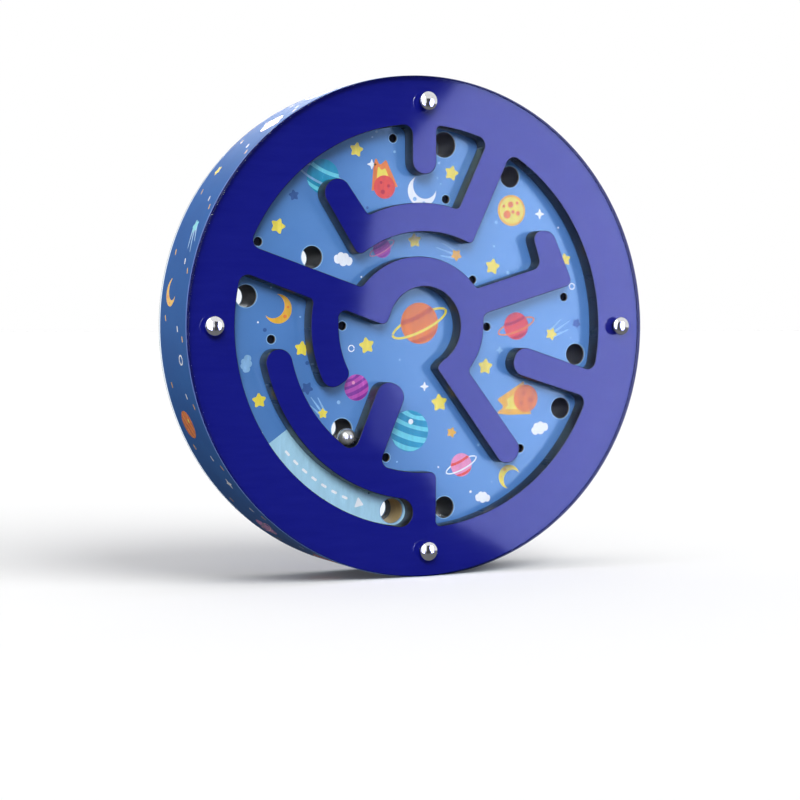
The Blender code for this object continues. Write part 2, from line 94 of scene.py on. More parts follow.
# Small sizes that a box does not give, as the model has them
LANE_RADIUS = 72.4 * MM
SEAT_GAP = 0.3 * MM
HEAD_RIM = 0.4 * MM
HEAD_TUCK = 0.1 * MM
POST_RADIUS = 1.8 * MM
PIN_RADIUS = 0.9 * MM
RIVET_CLEARANCE = 0.3 * MM
RIVET_COUNT = 4
TRAP_DIAMETER = 8.0 * MM
START_DIAMETER = 9.4 * MM
NEXT_DIAMETER = 9.0 * MM
DIMPLE_DIAMETER = 3.2 * MM
DIMPLE_DEPTH = 2.2 * MM

# Roundings of the cut lanes
ROOT_ROUND = 3.3 * MM
BEND_ROUND = 1.8 * MM
NOSE_ROUND = 2.6 * MM
TIP_ROUND = 4.9 * MM
LEG_ROUND = 3.4 * MM
LANE_END_ROUND = 4.9 * MM
POCKET_ROUND = 3.475 * MM
BACK_WALL_WIDTH = 8.6 * MM

# Fineness of the drawn curves, and the rounding of cut edges
CURVE_SAG = 0.010 * MM
PRINT_SAG = 0.006 * MM
CIRCLE_SIDES = 288
HOLE_SIDES = 64
HEAD_SIDES = 64
HEAD_RINGS = 14
BALL_SIDES = 72
BALL_RINGS = 36
SHARP_DEGREES = 40
EDGE_ROUND = 0.22 * MM
COVER_ROUND = 0.10 * MM
SHEET_ROUND = 0.02 * MM
WRAP_ROUND = 0.12 * MM
EDGE_STEPS = 3
SAME_PLACE = 0.004 * MM

# Front lanes: share of the lane radius, angle in degrees, rounding, and how the
# outline runs on where it isn't straight. TURN keeps turning about the centre, and
# a number is a bow: the height of an arc as a share of its chord.
TURN = "turn"
FRONT_LANE_SHARES = (
    (1.0, 94.0, ROOT_ROUND, TURN),
    (1.0, 157.4, ROOT_ROUND),
    (0.393, 151.0, BEND_ROUND, 0.245),
    (0.346, 33.4, BEND_ROUND),
    (0.728, 24.6, LEG_ROUND),
    (0.775, 39.1, LEG_ROUND),
    (0.877, 33.9, TIP_ROUND),
    (0.877, 14.3, NOSE_ROUND),
    (0.336, 10.4, NOSE_ROUND),
    (0.328, -4.0, 0, TURN),
    (0.328, -33.0, 0),
    (0.331, -43.1, BEND_ROUND),
    (0.849, -48.8, TIP_ROUND),
    (0.851, -58.2, TIP_ROUND),
    (0.217, -72.9, BEND_ROUND),
    (0.197, -60.0, 0, TURN),
    (0.197, 163.0, 0),
    (0.213, 180.0, NOSE_ROUND),
    (0.475, 169.3, NOSE_ROUND),
    (0.466, 178.5, 0, TURN),
    (0.466, 212.0, LEG_ROUND),
    (0.612, 212.0, TIP_ROUND, TURN),
    (0.612, 168.0, BEND_ROUND),
    (1.0, 165.2, ROOT_ROUND, TURN),
    (1.0, 265.7, LANE_END_ROUND),
    (0.863, 265.7, LANE_END_ROUND, TURN),
    (0.863, 188.0, TIP_ROUND),
    (0.7265, 188.0, TIP_ROUND, TURN),
    (0.7265, 238.0, POCKET_ROUND),
    (0.347, 227.4, TIP_ROUND),
    (0.329, 253.4, TIP_ROUND),
    (0.7265, 250.0, ROOT_ROUND, TURN),
    (0.7265, 274.9, NOSE_ROUND),
    (1.0, 273.4, BEND_ROUND, TURN),
    (1.0, 338.3, ROOT_ROUND),
    (0.534, 334.1, TIP_ROUND),
    (0.535, 349.8, TIP_ROUND),
    (1.0, 346.4, ROOT_ROUND, TURN),
    (1.0, 421.1, ROOT_ROUND),
    (0.485, 417.4, BEND_ROUND, -0.150),
    (0.492, 496.8, NOSE_ROUND),
    (0.875, 490.3, TIP_ROUND),
    (0.869, 481.4, TIP_ROUND),
    (0.624, 479.6, BEND_ROUND, 0.095),
    (0.613, 432.4, BEND_ROUND),
    (1.0, 429.4, ROOT_ROUND, TURN),
    (1.0, 446.4, BEND_ROUND),
    (0.757, 445.2, TIP_ROUND),
    (0.757, 455.2, TIP_ROUND),
)

# Back walls seen from the back: angle at the ring, share of the lane radius at the
# far end, angle there, and the end of the turn about the centre that some make
BACK_WALL_SHARES = (
    (20.0, 0.800, 20.0),
    (56.0, 0.660, 56.0, 78.0),
    (108.0, 0.300, 108.0, 232.0),
    (140.0, 0.600, 140.0),
    (168.0, 0.620, 168.0),
    (198.2, 0.560, 198.2),
    (224.0, 0.600, 224.0),
    (251.5, 0.800, 251.5),
    (268.2, 0.540, 268.2),
    (296.0, 0.800, 296.0),
    (324.0, 0.600, 328.0),
    (350.0, 0.480, 350.0, 375.0),
)

# Drop holes: share of the lane radius and angle, seen from the front
TRAP_SHARES = (
    (0.931, 55.4),
    (0.661, 149.4),
    (0.922, 171.0),
    (0.654, 231.1),
    (0.927, 279.4),
    (0.931, 332.7),
    (0.929, 350.9),
)
START_SHARE = (0.927, 80.6)
NEXT_SHARE = (0.931, 261.2)

# Shallow holes of each side, seen from that side
DIMPLE_SHARES = {
    FRONT: (
        (0.862, 10.1), (0.392, 36.9), (0.660, 75.9), (0.944, 98.1), (0.941, 154.4),
        (0.408, 179.9), (0.784, 184.7), (0.676, 255.3), (0.863, 313.1), (0.395, 359.4),
    ),
    BACK: (
        (0.930, 37.0), (0.900, 72.0), (0.840, 88.0), (0.460, 130.0), (0.860, 154.0),
        (0.800, 211.0), (0.480, 262.0), (0.330, 310.0), (0.860, 335.0), (0.860, 360.0),
    ),
}


def srgb(red, green, blue):
    """A linear colour from the 0 to 255 values of a picture."""
    linear = []
    for value in (red, green, blue):
        share = value / 255
        linear.append(share / 12.92 if share <= 0.04045 else ((share + 0.055) / 1.055) ** 2.4)
    return tuple(linear)


def polar(radius, degrees):
    """A point of the drawing plane from its radius and its angle."""
    angle = math.radians(degrees)
    return Vector((radius * math.cos(angle), radius * math.sin(angle)))


def left_of(along):
    """The direction a quarter turn to the left."""
    return Vector((-along.y, along.x))


# Outlines

def arc_count(radius, angle, sag=CURVE_SAG):
    """How many chords an arc needs to stay within the sag."""
    widest = 2 * math.acos(1 - min(sag / radius, 1))
    return max(2, math.ceil(angle / widest))


def turn_points(radius, start, end):
    """Points between two angles of a circle about the centre, ends left out."""
    count = arc_count(radius, math.radians(abs(end - start)))
    return [polar(radius, start + (end - start) * step / count) for step in range(1, count)]


def bow_points(start, end, bow_share):
    """Points of the arc whose height is a share of its chord, ends left out."""
    chord = end - start
    half_angle = 2 * math.atan(2 * abs(bow_share))
    radius = chord.length / (2 * math.sin(half_angle))
    side = left_of(chord).normalized() * math.copysign(1, bow_share)
    centre = start + chord / 2 - side * radius * math.cos(half_angle)
    count = arc_count(radius, 2 * half_angle)
    points = []
    for step in range(1, count):
        swing = half_angle * (2 * step / count - 1)
        along = chord.normalized() * math.sin(swing)
        points.append(centre + (along + side * math.cos(swing)) * radius)
    return points


def lane_path(rows):
    """The points of a closed outline with the rounding that each one gets."""
    path = []
    for row, following in zip(rows, rows[1:] + rows[:1]):
        share, degrees, rounding = row[:3]
        start = polar(share * LANE_RADIUS, degrees)
        between = []
        if row[3:] == (TURN,):
            between = turn_points(share * LANE_RADIUS, degrees, following[1])
        elif row[3:]:
            between = bow_points(start, polar(following[0] * LANE_RADIUS, following[1]), row[3])
        path += [(start, rounding)] + [(point, 0) for point in between]
    return path


def wall_line(root_degrees, share, degrees, *turn_ends):
    """The centre line of a back wall, with a mark on its bend."""
    line = [(polar(LANE_RADIUS, root_degrees), False),
            (polar(share * LANE_RADIUS, degrees), bool(turn_ends))]
    for end in turn_ends:
        line += [(point, False) for point in turn_points(share * LANE_RADIUS, degrees, end)]
        line.append((polar(share * LANE_RADIUS, end), False))
    return line


def wall_side(line, offset):
    """A wall's centre line moved to its left, from the ring to the wall's tip."""
    points = [point for point, bend in line]
    side = []
    for index, (point, bend) in enumerate(line):
        normals = []
        for start, end in zip(points[max(index - 1, 0):index + 1], points[max(index, 1):index + 2]):
            normals.append(left_of(end - start).normalized())
        mitre = sum(normals, Vector((0, 0))).normalized()
        side.append((point + mitre * offset / mitre.dot(normals[0]), BEND_ROUND if bend else 0))
    root = side[0][0]
    along = (points[1] - points[0]).normalized()
    square = root.dot(along)
    reach = -square - math.sqrt(square ** 2 - root.length_squared + LANE_RADIUS ** 2)
    side[0] = (root + along * reach, ROOT_ROUND)
    side[-1] = (side[-1][0], BACK_WALL_WIDTH / 2)
    return side


def back_lane_path():
    """The back lanes: arcs of the ring broken by walls."""
    walls = []
    for row in BACK_WALL_SHARES:
        line = wall_line(*row)
        near, far = (wall_side(line, offset) for offset in (BACK_WALL_WIDTH / 2, -BACK_WALL_WIDTH / 2))
        walls.append(near + far[::-1])
    path = []
    for wall, following in zip(walls, walls[1:] + walls[:1]):
        start, end = (math.degrees(math.atan2(point.y, point.x))
                      for point in (wall[-1][0], following[0][0]))
        between = turn_points(LANE_RADIUS, start, start + (end - start) % 360)
        path += wall + [(point, 0) for point in between]
    return path


def walk(points, index, direction, length):
    """The place reached from a corner by going a length along the outline."""
    place = points[index]
    while True:
        index = (index + direction) % len(points)
        span = (points[index] - place).length
        if span >= length:
            return place + (points[index] - place) * (length / span), index
        length -= span
        place = points[index]


def free_length(points, start, end):
    """The length of the outline from one corner to another."""
    length = 0.0
    while start != end:
        after = (start + 1) % len(points)
        length += (points[after] - points[start]).length
        start = after
    return length


def arc_across(start, corner, end, turn, sag):
    """A circular arc from start to end that is tangent to both sides."""
    count = arc_count((corner - start).length / math.tan(turn / 2), turn, sag)
    points = []
    for step in range(count + 1):
        part = step / count
        first = (1 - part) ** 2
        middle = 2 * math.cos(turn / 2) * part * (1 - part)
        last = part ** 2
        points.append((start * first + corner * middle + end * last) / (first + middle + last))
    return points


def rounded(path, sag=CURVE_SAG):
    """The outline with each marked corner bridged by a circular arc."""
    points = [point for point, rounding in path]
    corners = [index for index, item in enumerate(path) if item[1] > 0]
    arcs = {}
    removed = set()
    for order, index in enumerate(corners):
        before = (points[index] - points[index - 1]).normalized()
        after = (points[(index + 1) % len(points)] - points[index]).normalized()
        turn = before.angle(after)
        reach = min(path[index][1] * math.tan(turn / 2),
                    free_length(points, corners[order - 1], index) / 2,
                    free_length(points, index, corners[(order + 1) % len(corners)]) / 2)
        start, last = walk(points, index, -1, reach)
        end, first = walk(points, index, 1, reach)
        arcs[index] = arc_across(start, points[index], end, turn, sag)
        skipped = (last + 1) % len(points)
        while skipped != first:
            removed.add(skipped)
            skipped = (skipped + 1) % len(points)
    outline = []
    for index, point in enumerate(points):
        if index in arcs:
            outline += arcs[index]
        elif index not in removed:
            outline.append(point)
    return without_doubles(outline)


def without_doubles(points):
    """The points with every one dropped that lies on the one before it."""
    kept = []
    for point in points:
        if not kept or (point - kept[-1]).length > SAME_PLACE:
            kept.append(point)
    while (kept[0] - kept[-1]).length <= SAME_PLACE:
        kept.pop()
    return kept


def circle(radius, sides, centre=(0, 0)):
    """A closed round outline."""
    return [Vector(centre) + polar(radius, 360 * side / sides) for side in range(sides)]


def hole_places(side):
    """The centre and radius of each drop hole, seen from a side."""
    rows = [(*share, TRAP_DIAMETER) for share in TRAP_SHARES]
    rows += [(*START_SHARE, START_DIAMETER), (*NEXT_SHARE, NEXT_DIAMETER)]
    return [(polar(share * LANE_RADIUS, degrees) * Vector((side, 1)), diameter / 2)
            for share, degrees, diameter in rows]


def dimple_places(side):
    """The centre and radius of each shallow hole of a side, seen from that side."""
    return [(polar(share * LANE_RADIUS, degrees), DIMPLE_DIAMETER / 2)
            for share, degrees in DIMPLE_SHARES[side]]


def rivet_places():
    """The centres of the rivets."""
    return [polar(RIVET_RADIUS, 360 * index / RIVET_COUNT) for index in range(RIVET_COUNT)]


def round_holes(places):
    """The outlines of round holes from their centres and radii."""
    return [circle(radius, HOLE_SIDES, centre) for centre, radius in places]


# Meshes

def placed(name, data):
    """A new object in the scene."""
    made = bpy.data.objects.new(name, data)
    bpy.context.scene.collection.objects.link(made)
    return made


def stand(side):
    """The rule that stands a drawn point up at a depth on one side."""
    def place(x, y, depth):
        return Vector((side * x, -side * depth, CENTRE_HEIGHT + y))
    return place


def directed(points, anticlockwise):
    """The outline in the wanted sense of turning."""
    area = sum(points[index - 1].cross(point) for index, point in enumerate(points))
    return points if (area > 0) == anticlockwise else points[::-1]


def inset(points, distance):
    """The outline moved towards its left by a distance."""
    moved = []
    for index, point in enumerate(points):
        before = (point - points[index - 1]).normalized()
        after = (points[(index + 1) % len(points)] - point).normalized()
        along = (before + after).normalized()
        moved.append(point + left_of(along) * distance / max(before.dot(along), 0.5))
    return moved


def edge_rows(low, high, rounding):
    """(inset, depth) rows of a plate's edge, from its back to its face."""
    rows = []
    for step in range(EDGE_STEPS + 1):
        angle = math.radians(90) * step / EDGE_STEPS
        rows.append((rounding * (1 - math.sin(angle)), low + rounding * (1 - math.cos(angle))))
    return rows + [(distance, low + high - depth) for distance, depth in rows[::-1]]


class Solid:
    """A closed mesh made of outlines, put in place at the end."""

    def __init__(self):
        self.shape = bmesh.new()

    def join(self, rings, material=0):
        """Smooth faces between rings of as many vertices."""
        for low, high in zip(rings, rings[1:]):
            for index in range(len(low)):
                corners = (low[index - 1], low[index], high[index], high[index - 1])
                face = self.shape.faces.new(list(dict.fromkeys(corners)))
                face.material_index = material
                face.smooth = True

    def wall(self, outline, rows, material=0):
        """The rings of an outline's wall, joined by faces."""
        rings = []
        for distance, depth in rows:
            moved = inset(outline, distance) if distance else outline
            rings.append([self.shape.verts.new((*point, depth)) for point in moved])
        self.join(rings, material)
        return rings

    def cap(self, rings, material=0):
        """A flat face between rings, with crisp edges."""
        flat = [vertex for ring in rings for vertex in ring]
        for corners in tessellate_polygon([[vertex.co for vertex in ring] for ring in rings]):
            face = self.shape.faces.new([flat[corner] for corner in corners])
            face.material_index = material
        for ring in rings:
            for index, vertex in enumerate(ring):
                self.shape.edges.get((ring[index - 1], vertex)).smooth = False

    def slab(self, outline, cuts, rows, rim=0, cut=0):
        """A flat shape with holes; rim and cut are the materials of its walls."""
        walls = [self.wall(directed(outline, True), rows, rim)]
        walls += [self.wall(directed(hole, False), rows, cut) for hole in cuts]
        self.cap([wall[0] for wall in walls])
        self.cap([wall[-1] for wall in walls])

    def finish(self, name, place, materials, body, slot, replaced=()):
        """The piece with its materials, riding on its body."""
        for vertex in self.shape.verts:
            vertex.co = place(*vertex.co)
        bmesh.ops.recalc_face_normals(self.shape, faces=self.shape.faces)
        mesh = bpy.data.meshes.new(name)
        self.shape.to_mesh(mesh)
        self.shape.free()
        for material in materials:
            mesh.materials.append(material)
        piece = placed(name, mesh)
        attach(piece, body)
        if replaced:
            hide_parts(*replaced)
        return piece


def plate(name, side, cuts, low, high, materials, slot, replaced, radius=LAYER_RADIUS,
          rounding=EDGE_ROUND, rim=0):
    """A round flat layer with holes, whose rim may have a material of its own."""
    solid = Solid()
    solid.slab(circle(radius, CIRCLE_SIDES), cuts, edge_rows(low, high, rounding), rim, 1)
    return solid.finish(name, stand(side), materials, CASE, slot, (replaced,))


def turned(name, profile, sides, place, material, body, slot, replaced):
    """A turned piece from (radius, height) rows whose ends lie on its axis."""
    solid = Solid()
    rings = []
    for radius, height in profile:
        places = circle(radius, sides) if radius > 0 else [Vector((0, 0))]
        ring = [solid.shape.verts.new((*point, height)) for point in places]
        rings.append(ring * (sides // len(ring)))
    solid.join(rings)
    piece = solid.finish(name, place, [material], body, slot, (replaced,))
    piece.data.set_sharp_from_angle(angle=math.radians(SHARP_DEGREES))
    return piece


# Nodes

class Nodes:
    """The nodes of a material or of the world."""

    def __init__(self, owner):
        owner.use_nodes = True
        self.tree = owner.node_tree

    def add(self, kind, inputs=None, **settings):
        """A new node with its settings and what its inputs get."""
        made = self.tree.nodes.new(kind)
        for key, value in settings.items():
            setattr(made, key, value)
        for key, value in (inputs or {}).items():
            self.feed(made, key, value)
        return made

    def feed(self, made, key, value):
        """Set a node's input to a number, vector or colour, or link an output to it."""
        socket = made.inputs[key]
        if isinstance(value, tuple):
            socket.default_value = (*value, 1.0)[:len(socket.default_value)]
        elif isinstance(value, (int, float)):
            socket.default_value = value
        else:
            self.tree.links.new(value, socket)

    def math(self, operation, first, second, clamp=False):
        """The result of a sum on two values."""
        return self.add("ShaderNodeMath", {0: first, 1: second}, operation=operation,
                        use_clamp=clamp).outputs[0]

    def ramp(self, value, low, high, low_out=0.0, high_out=1.0):
        """The value brought from one range to another, and kept inside it."""
        ends = {"From Min": low, "From Max": high, "To Min": low_out, "To Max": high_out}
        return self.add("ShaderNodeMapRange", {"Value": value, **ends}, clamp=True).outputs["Result"]

    def mix(self, factor, first, second):
        """A blend of two colours."""
        return self.add("ShaderNodeMix", {0: factor, 6: first, 7: second}, data_type="RGBA").outputs[2]

    def axes(self, place):
        """The three parts of a place or a direction."""
        return self.add("ShaderNodeSeparateXYZ", {0: place}).outputs


class Looks(Nodes):
    """A material with its Principled shader."""

    def __init__(self, name):
        self.material = bpy.data.materials.new(name)
        super().__init__(self.material)
        self.shader = self.tree.nodes["Principled BSDF"]
        self.place = self.add("ShaderNodeTexCoord").outputs["Object"]

    def noise(self, scale, detail=3.0, roughness=0.5, stretch=None, turn=0.0):
        """A noise value over the object, stretched and turned where asked."""
        place = self.place
        if stretch:
            mapped = {"Vector": place, "Scale": stretch, "Rotation": (0.0, math.radians(turn), 0.0)}
            place = self.add("ShaderNodeMapping", mapped).outputs["Vector"]
        inputs = {"Vector": place, "Scale": scale, "Detail": detail, "Roughness": roughness}
        return self.add("ShaderNodeTexNoise", inputs).outputs["Fac"]

    def bump(self, height, strength, distance):
        """A relief on the shader from a height value."""
        inputs = {"Height": height, "Strength": strength, "Distance": distance}
        self.feed(self.shader, "Normal", self.add("ShaderNodeBump", inputs).outputs["Normal"])

    def dress(self, colour, roughness, **levels):
        """The material with the main values of its shader."""
        self.feed(self.shader, "Base Color", colour)
        self.feed(self.shader, "Roughness", roughness)
        for key, value in levels.items():
            self.feed(self.shader, LEVEL_NAMES[key], value)
        return self.material

    def surface(self, shader):
        """The material with another shader on its surface."""
        self.feed(self.tree.nodes["Material Output"], "Surface", shader.outputs[0])
        return self.material

    def clear_surface(self, tint, gloss):
        """The material seen through, with a share of gloss from its own shader."""
        clear = self.add("ShaderNodeBsdfTransparent", {"Color": tint})
        parts = {0: gloss, 1: clear.outputs[0], 2: self.shader.outputs[0]}
        return self.surface(self.add("ShaderNodeMixShader", parts))


LEVEL_NAMES = {
    "metallic": "Metallic",
    "specular": "Specular IOR Level",
    "sheen": "Specular Tint",
    "index": "IOR",
}

# Materials

WHITE = (1.0, 1.0, 1.0)
NAVY = srgb(18, 22, 124)
NAVY_WORN = srgb(26, 30, 132)
CUT_WALL = srgb(18, 22, 30)
CUT_WALL_WARM = srgb(34, 26, 20)
SKY = srgb(88, 138, 202)
SKY_DEEP = srgb(76, 124, 190)
SHEET_SHEEN = (0.72, 0.95, 0.62)
BAND_BLUE = srgb(53, 104, 171)
BAND_DEEP = srgb(43, 90, 156)
# Pale tone of the wrap's cut edges (the paper's core) and of the strips beside them, which are a
# painted highlight
PALE_CORE_AND_HIGHLIGHT = srgb(112, 138, 202)
PALE_CORE_AND_HIGHLIGHT_WORN = srgb(98, 124, 192)
FIBRE_DEPTH = 0.02 * MM
WOOD_PALE = srgb(206, 182, 126)
WOOD_DARK = srgb(158, 132, 84)
GRAIN_DEPTH = 0.05 * MM
PIT_BLACK = srgb(9, 11, 13)
# Depths in the board past which a hole's wooden wall turns black towards its back
DARK_BACK_START = 2.2 * MM
DARK_BACK_FULL = 2.9 * MM
CLEAR_TINT = (0.97, 0.985, 1.0)
ACRYLIC_INDEX = 1.49
ANTI_GLARE = 0.038
EDGE_TINT = (0.84, 0.92, 0.96)
# Tint of the clear edge seen from within: a painted reflection of the painted wood under the cover
EDGE_PAINTED_REFLECTION = (0.075, 0.08, 0.22)
EDGE_PALE = srgb(196, 212, 226)
EDGE_SHARE = 0.02
CHROME = srgb(222, 222, 224)
BALL_STEEL = srgb(196, 192, 186)
WORN_SHARE = 0.86

# Papers: deep and pale tone, roughness, then the specular level, tint and index
PAPERS = {
    "printed_paper": (SKY_DEEP, SKY, 0.16, 0.8, SHEET_SHEEN, 1.6),
    "edge_print": (BAND_DEEP, BAND_BLUE, 0.50, 0.06, WHITE, 1.5),
    "core_and_edge_highlight": (PALE_CORE_AND_HIGHLIGHT_WORN, PALE_CORE_AND_HIGHLIGHT, 0.60, 0.05, WHITE, 1.5),
}


def painted_wood():
    """Glossy blue paint: faint grain under it and tiny specks."""
    looks = Looks("painted_wood_looks")
    grain = looks.noise(60.0, 4.0, 0.6, (1.0, 1.0, 7.0))
    speck = looks.noise(1900.0, 2.0)
    paint = looks.mix(looks.ramp(grain, 0.30, 0.75, 0.0, 0.7), NAVY, NAVY_WORN)
    paint = looks.mix(looks.ramp(speck, 0.60, 0.80, 0.0, 0.3), paint, NAVY_WORN)
    return looks.dress(paint, looks.ramp(grain, 0.2, 0.8, 0.05, 0.08))


def cut_wall():
    """The dark glossy wall that a laser leaves, with a warm streak here and there."""
    looks = Looks("cut_wall_looks")
    streak = looks.noise(260.0, 3.0, 0.6, (1.0, 0.10, 1.0))
    tone = looks.mix(looks.ramp(streak, 0.45, 0.85), CUT_WALL, CUT_WALL_WARM)
    return looks.dress(tone, looks.ramp(streak, 0.3, 0.7, 0.26, 0.34), specular=0.22)


def pit_wall():
    """The black wall of a drop hole."""
    looks = Looks("pit_wall_looks")
    streak = looks.noise(300.0, 3.0, 0.6, (1.0, 0.15, 1.0))
    tone = looks.mix(streak, PIT_BLACK, CUT_WALL)
    return looks.dress(tone, looks.ramp(streak, 0.3, 0.7, 0.45, 0.65), specular=0.2)


def bare_wood():
    """Raw wood across the layers, turning black towards the back of a hole."""
    looks = Looks("bare_wood_looks")
    grain = looks.noise(320.0, 3.0, 0.5, (0.25, 1.6, 0.25))
    dark_back = looks.ramp(looks.axes(looks.place)[1], DARK_BACK_START, DARK_BACK_FULL)
    wood = looks.mix(grain, WOOD_DARK, WOOD_PALE)
    looks.bump(grain, 0.20, GRAIN_DEPTH)
    return looks.dress(looks.mix(dark_back, wood, PIT_BLACK), looks.ramp(grain, 0.2, 0.8, 0.60, 0.80))


def paper(name):
    """Printed paper with a soft mottled tone and paper fibre."""
    deep, pale, roughness, specular, sheen, index = PAPERS[name]
    looks = Looks(name + "_looks")
    cloud = looks.noise(26.0, 4.0, 0.6)
    fibre = looks.noise(1500.0, 2.0)
    tone = looks.mix(looks.ramp(cloud, 0.30, 0.70), deep, pale)
    tone = looks.mix(looks.ramp(fibre, 0.55, 0.80, 0.0, 0.25), tone, pale)
    looks.bump(fibre, 0.05, FIBRE_DEPTH)
    return looks.dress(tone, looks.ramp(cloud, 0.2, 0.8, roughness, roughness + 0.08),
                       specular=specular, sheen=sheen, index=index)


def clear_pane():
    """Clear anti-glare sheet: its gloss only shows at shallow angles."""
    looks = Looks("clear_acrylic_looks")
    looks.dress(WHITE, 0.02, metallic=1.0)
    fresnel = looks.add("ShaderNodeFresnel", {"IOR": ACRYLIC_INDEX}).outputs[0]
    front = looks.math("SUBTRACT", 1.0, looks.add("ShaderNodeNewGeometry").outputs["Backfacing"])
    shallow = looks.math("SUBTRACT", fresnel, ANTI_GLARE, clamp=True)
    return looks.clear_surface(CLEAR_TINT, looks.math("MULTIPLY", shallow, front, clamp=True))


def clear_edge():
    """The cut edge of the clear sheet: seen from within, a dark blue tint is a painted reflection of
    the dark wood below it.
    """
    looks = Looks("acrylic_edge_looks")
    saw = looks.ramp(looks.noise(700.0, 2.0), 0.3, 0.7, 0.0, 0.5)
    looks.dress(looks.mix(saw, EDGE_PALE, WHITE), 0.12, metallic=1.0)
    within = looks.add("ShaderNodeNewGeometry").outputs["Backfacing"]
    mirrored = looks.add("ShaderNodeLightPath").outputs["Is Glossy Ray"]
    # The painted reflection shows only to rays that are not glossy; glossy rays pass through clear
    seen = looks.math("SUBTRACT", within, mirrored, clamp=True)
    return looks.clear_surface(looks.mix(seen, EDGE_TINT, EDGE_PAINTED_REFLECTION),
                               looks.ramp(within, 0.0, 1.0, EDGE_SHARE, 0.0))


def steel(name, tone, roughness, metallic):
    """Polished steel with faint handling marks."""
    looks = Looks(name)
    marks = looks.noise(900.0, 3.0)
    dull = tuple(channel * WORN_SHARE for channel in tone)
    return looks.dress(looks.mix(looks.ramp(marks, 0.4, 0.8), tone, dull),
                       looks.ramp(marks, 0.3, 0.8, roughness, roughness * 2), metallic=metallic)


# Inks of the print: colour, and how much darker its strokes are
INKS = {
    "white": (srgb(252, 253, 254), 0.96),
    "pale": (srgb(150, 196, 236), 0.90),
    "lane": (srgb(178, 222, 242), 0.95),
    "deep": (srgb(58, 98, 160), 0.90),
    "yellow": (srgb(255, 232, 78), 0.93),
    "gold": (srgb(252, 190, 44), 0.90),
    "orange": (srgb(250, 140, 40), 0.88),
    "amber": (srgb(222, 108, 30), 0.88),
    "red": (srgb(244, 84, 52), 0.90),
    "crimson": (srgb(202, 50, 44), 0.88),
    "magenta": (srgb(206, 84, 186), 0.88),
    "violet": (srgb(146, 54, 160), 0.88),
    "pink": (srgb(250, 156, 194), 0.92),
    "teal": (srgb(34, 158, 196), 0.88),
    "aqua": (srgb(118, 222, 238), 0.92),
}


def ink(name):
    """Printed ink with the uneven strokes of a crayon drawing."""
    colour, stroke_share = INKS[name]
    looks = Looks("ink_" + name)
    stroke = looks.noise(520.0, 3.0, 0.6, (1.0, 1.0, 0.22), 35.0)
    grain = looks.noise(1700.0, 2.0)
    deep = tuple(channel * stroke_share ** 2 for channel in colour)
    tone = looks.mix(looks.ramp(stroke, 0.35, 0.65), deep, colour)
    tone = looks.mix(looks.ramp(grain, 0.55, 0.80, 0.0, 0.4), tone, deep)
    return looks.dress(tone, looks.ramp(stroke, 0.2, 0.8, 0.20, 0.30), specular=0.5)


# Outlines of the print, in the print's own plane. Those of the motifs take a centre, a
# size and a turn in degrees, then shares of that size, and angles that add to the turn.

INK_STEP = 0.012 * MM
INK_LEVELS = 4
INK_ROOT = 0.05 * MM
STRIPE_STEPS = 8
STRIPE_BOW = 0.10
RING_STEPS = 28
CRESCENT_STEPS = 40
BITE_SHIFT = 0.42
BITE_RADIUS = 0.84
TRAIL_START_WIDTH = 0.42
TRAIL_END_WIDTH = 0.12
PUFF_BOW = 0.30


def disc(centre, size, turn=0.0, reach=0.0, angle=0.0, share=1.0):
    """A round outline, as fine as its size needs."""
    sides = arc_count(size * share, 2 * math.pi, PRINT_SAG)
    return circle(size * share, sides, centre + polar(size * reach, turn + angle))


def star(centre, size, turn, points=5, inner_share=0.54, round_share=0.15, angle=0.0):
    """A star with soft corners."""
    path = []
    for step in range(2 * points):
        reach = size * (inner_share if step % 2 else 1.0)
        path.append((centre + polar(reach, turn + angle + 180 * step / points), size * round_share))
    return rounded(path, PRINT_SAG)


def stripe(centre, size, turn, low, high):
    """The part of a disc between two sagging lines."""
    along = polar(1.0, turn)
    outline = []
    for level, order in ((low, 1), (high, -1)):
        half = size * math.sqrt(max(1 - level ** 2, 0.01))
        for step in range(-STRIPE_STEPS, STRIPE_STEPS + 1):
            share = order * step / STRIPE_STEPS
            rise = level * size - STRIPE_BOW * size * (1 - share ** 2)
            outline.append(centre + along * half * share + left_of(along) * rise)
    return outline


def ring_part(centre, size, turn, reach, squash, width, start, end):
    """A strip along part of a tilted oval, thinner at its sides."""
    along = polar(size, turn)
    rims = []
    for offset in (width / 2, -width / 2):
        rim = []
        for step in range(RING_STEPS + 1):
            angle = math.radians(start + (end - start) * step / RING_STEPS)
            across = (reach + offset) * math.cos(angle)
            rise = (reach * squash + offset) * math.sin(angle)
            rim.append(centre + along * across + left_of(along) * rise)
        rims.append(rim)
    return rims[0] + rims[1][::-1]


def crescent(centre, size, turn):
    """A moon whose bite lies towards the turn."""
    shift = size * BITE_SHIFT
    bite = size * BITE_RADIUS
    outer_half = math.degrees(math.acos((size ** 2 + shift ** 2 - bite ** 2) / (2 * size * shift)))
    tip = polar(size, outer_half) - Vector((shift, 0))
    inner_half = math.degrees(math.atan2(tip.y, tip.x))
    parts = [step / CRESCENT_STEPS for step in range(CRESCENT_STEPS + 1)]
    outer = [polar(size, turn + outer_half + (360 - 2 * outer_half) * part) for part in parts]
    inner = [polar(shift, turn) + polar(bite, turn + inner_half + (360 - 2 * inner_half) * part)
             for part in parts[-2:0:-1]]
    return [centre + point for point in outer + inner]


def streak(start, end, start_width, end_width):
    """A straight stroke with round ends, from place to place."""
    side = left_of(end - start).normalized()
    path = []
    for point, width, sign in ((start, start_width, 1), (start, start_width, -1),
                               (end, end_width, -1), (end, end_width, 1)):
        path.append((point + side * sign * width / 2, width / 2))
    return rounded(path, PRINT_SAG)


def trail(centre, size, turn, spread, reach):
    """One of the streaks behind a comet."""
    shift = polar(size * spread, turn + 90)
    end = centre + shift * 2 + polar(size * reach, turn)
    return streak(centre + shift, end, size * TRAIL_START_WIDTH, size * TRAIL_END_WIDTH)


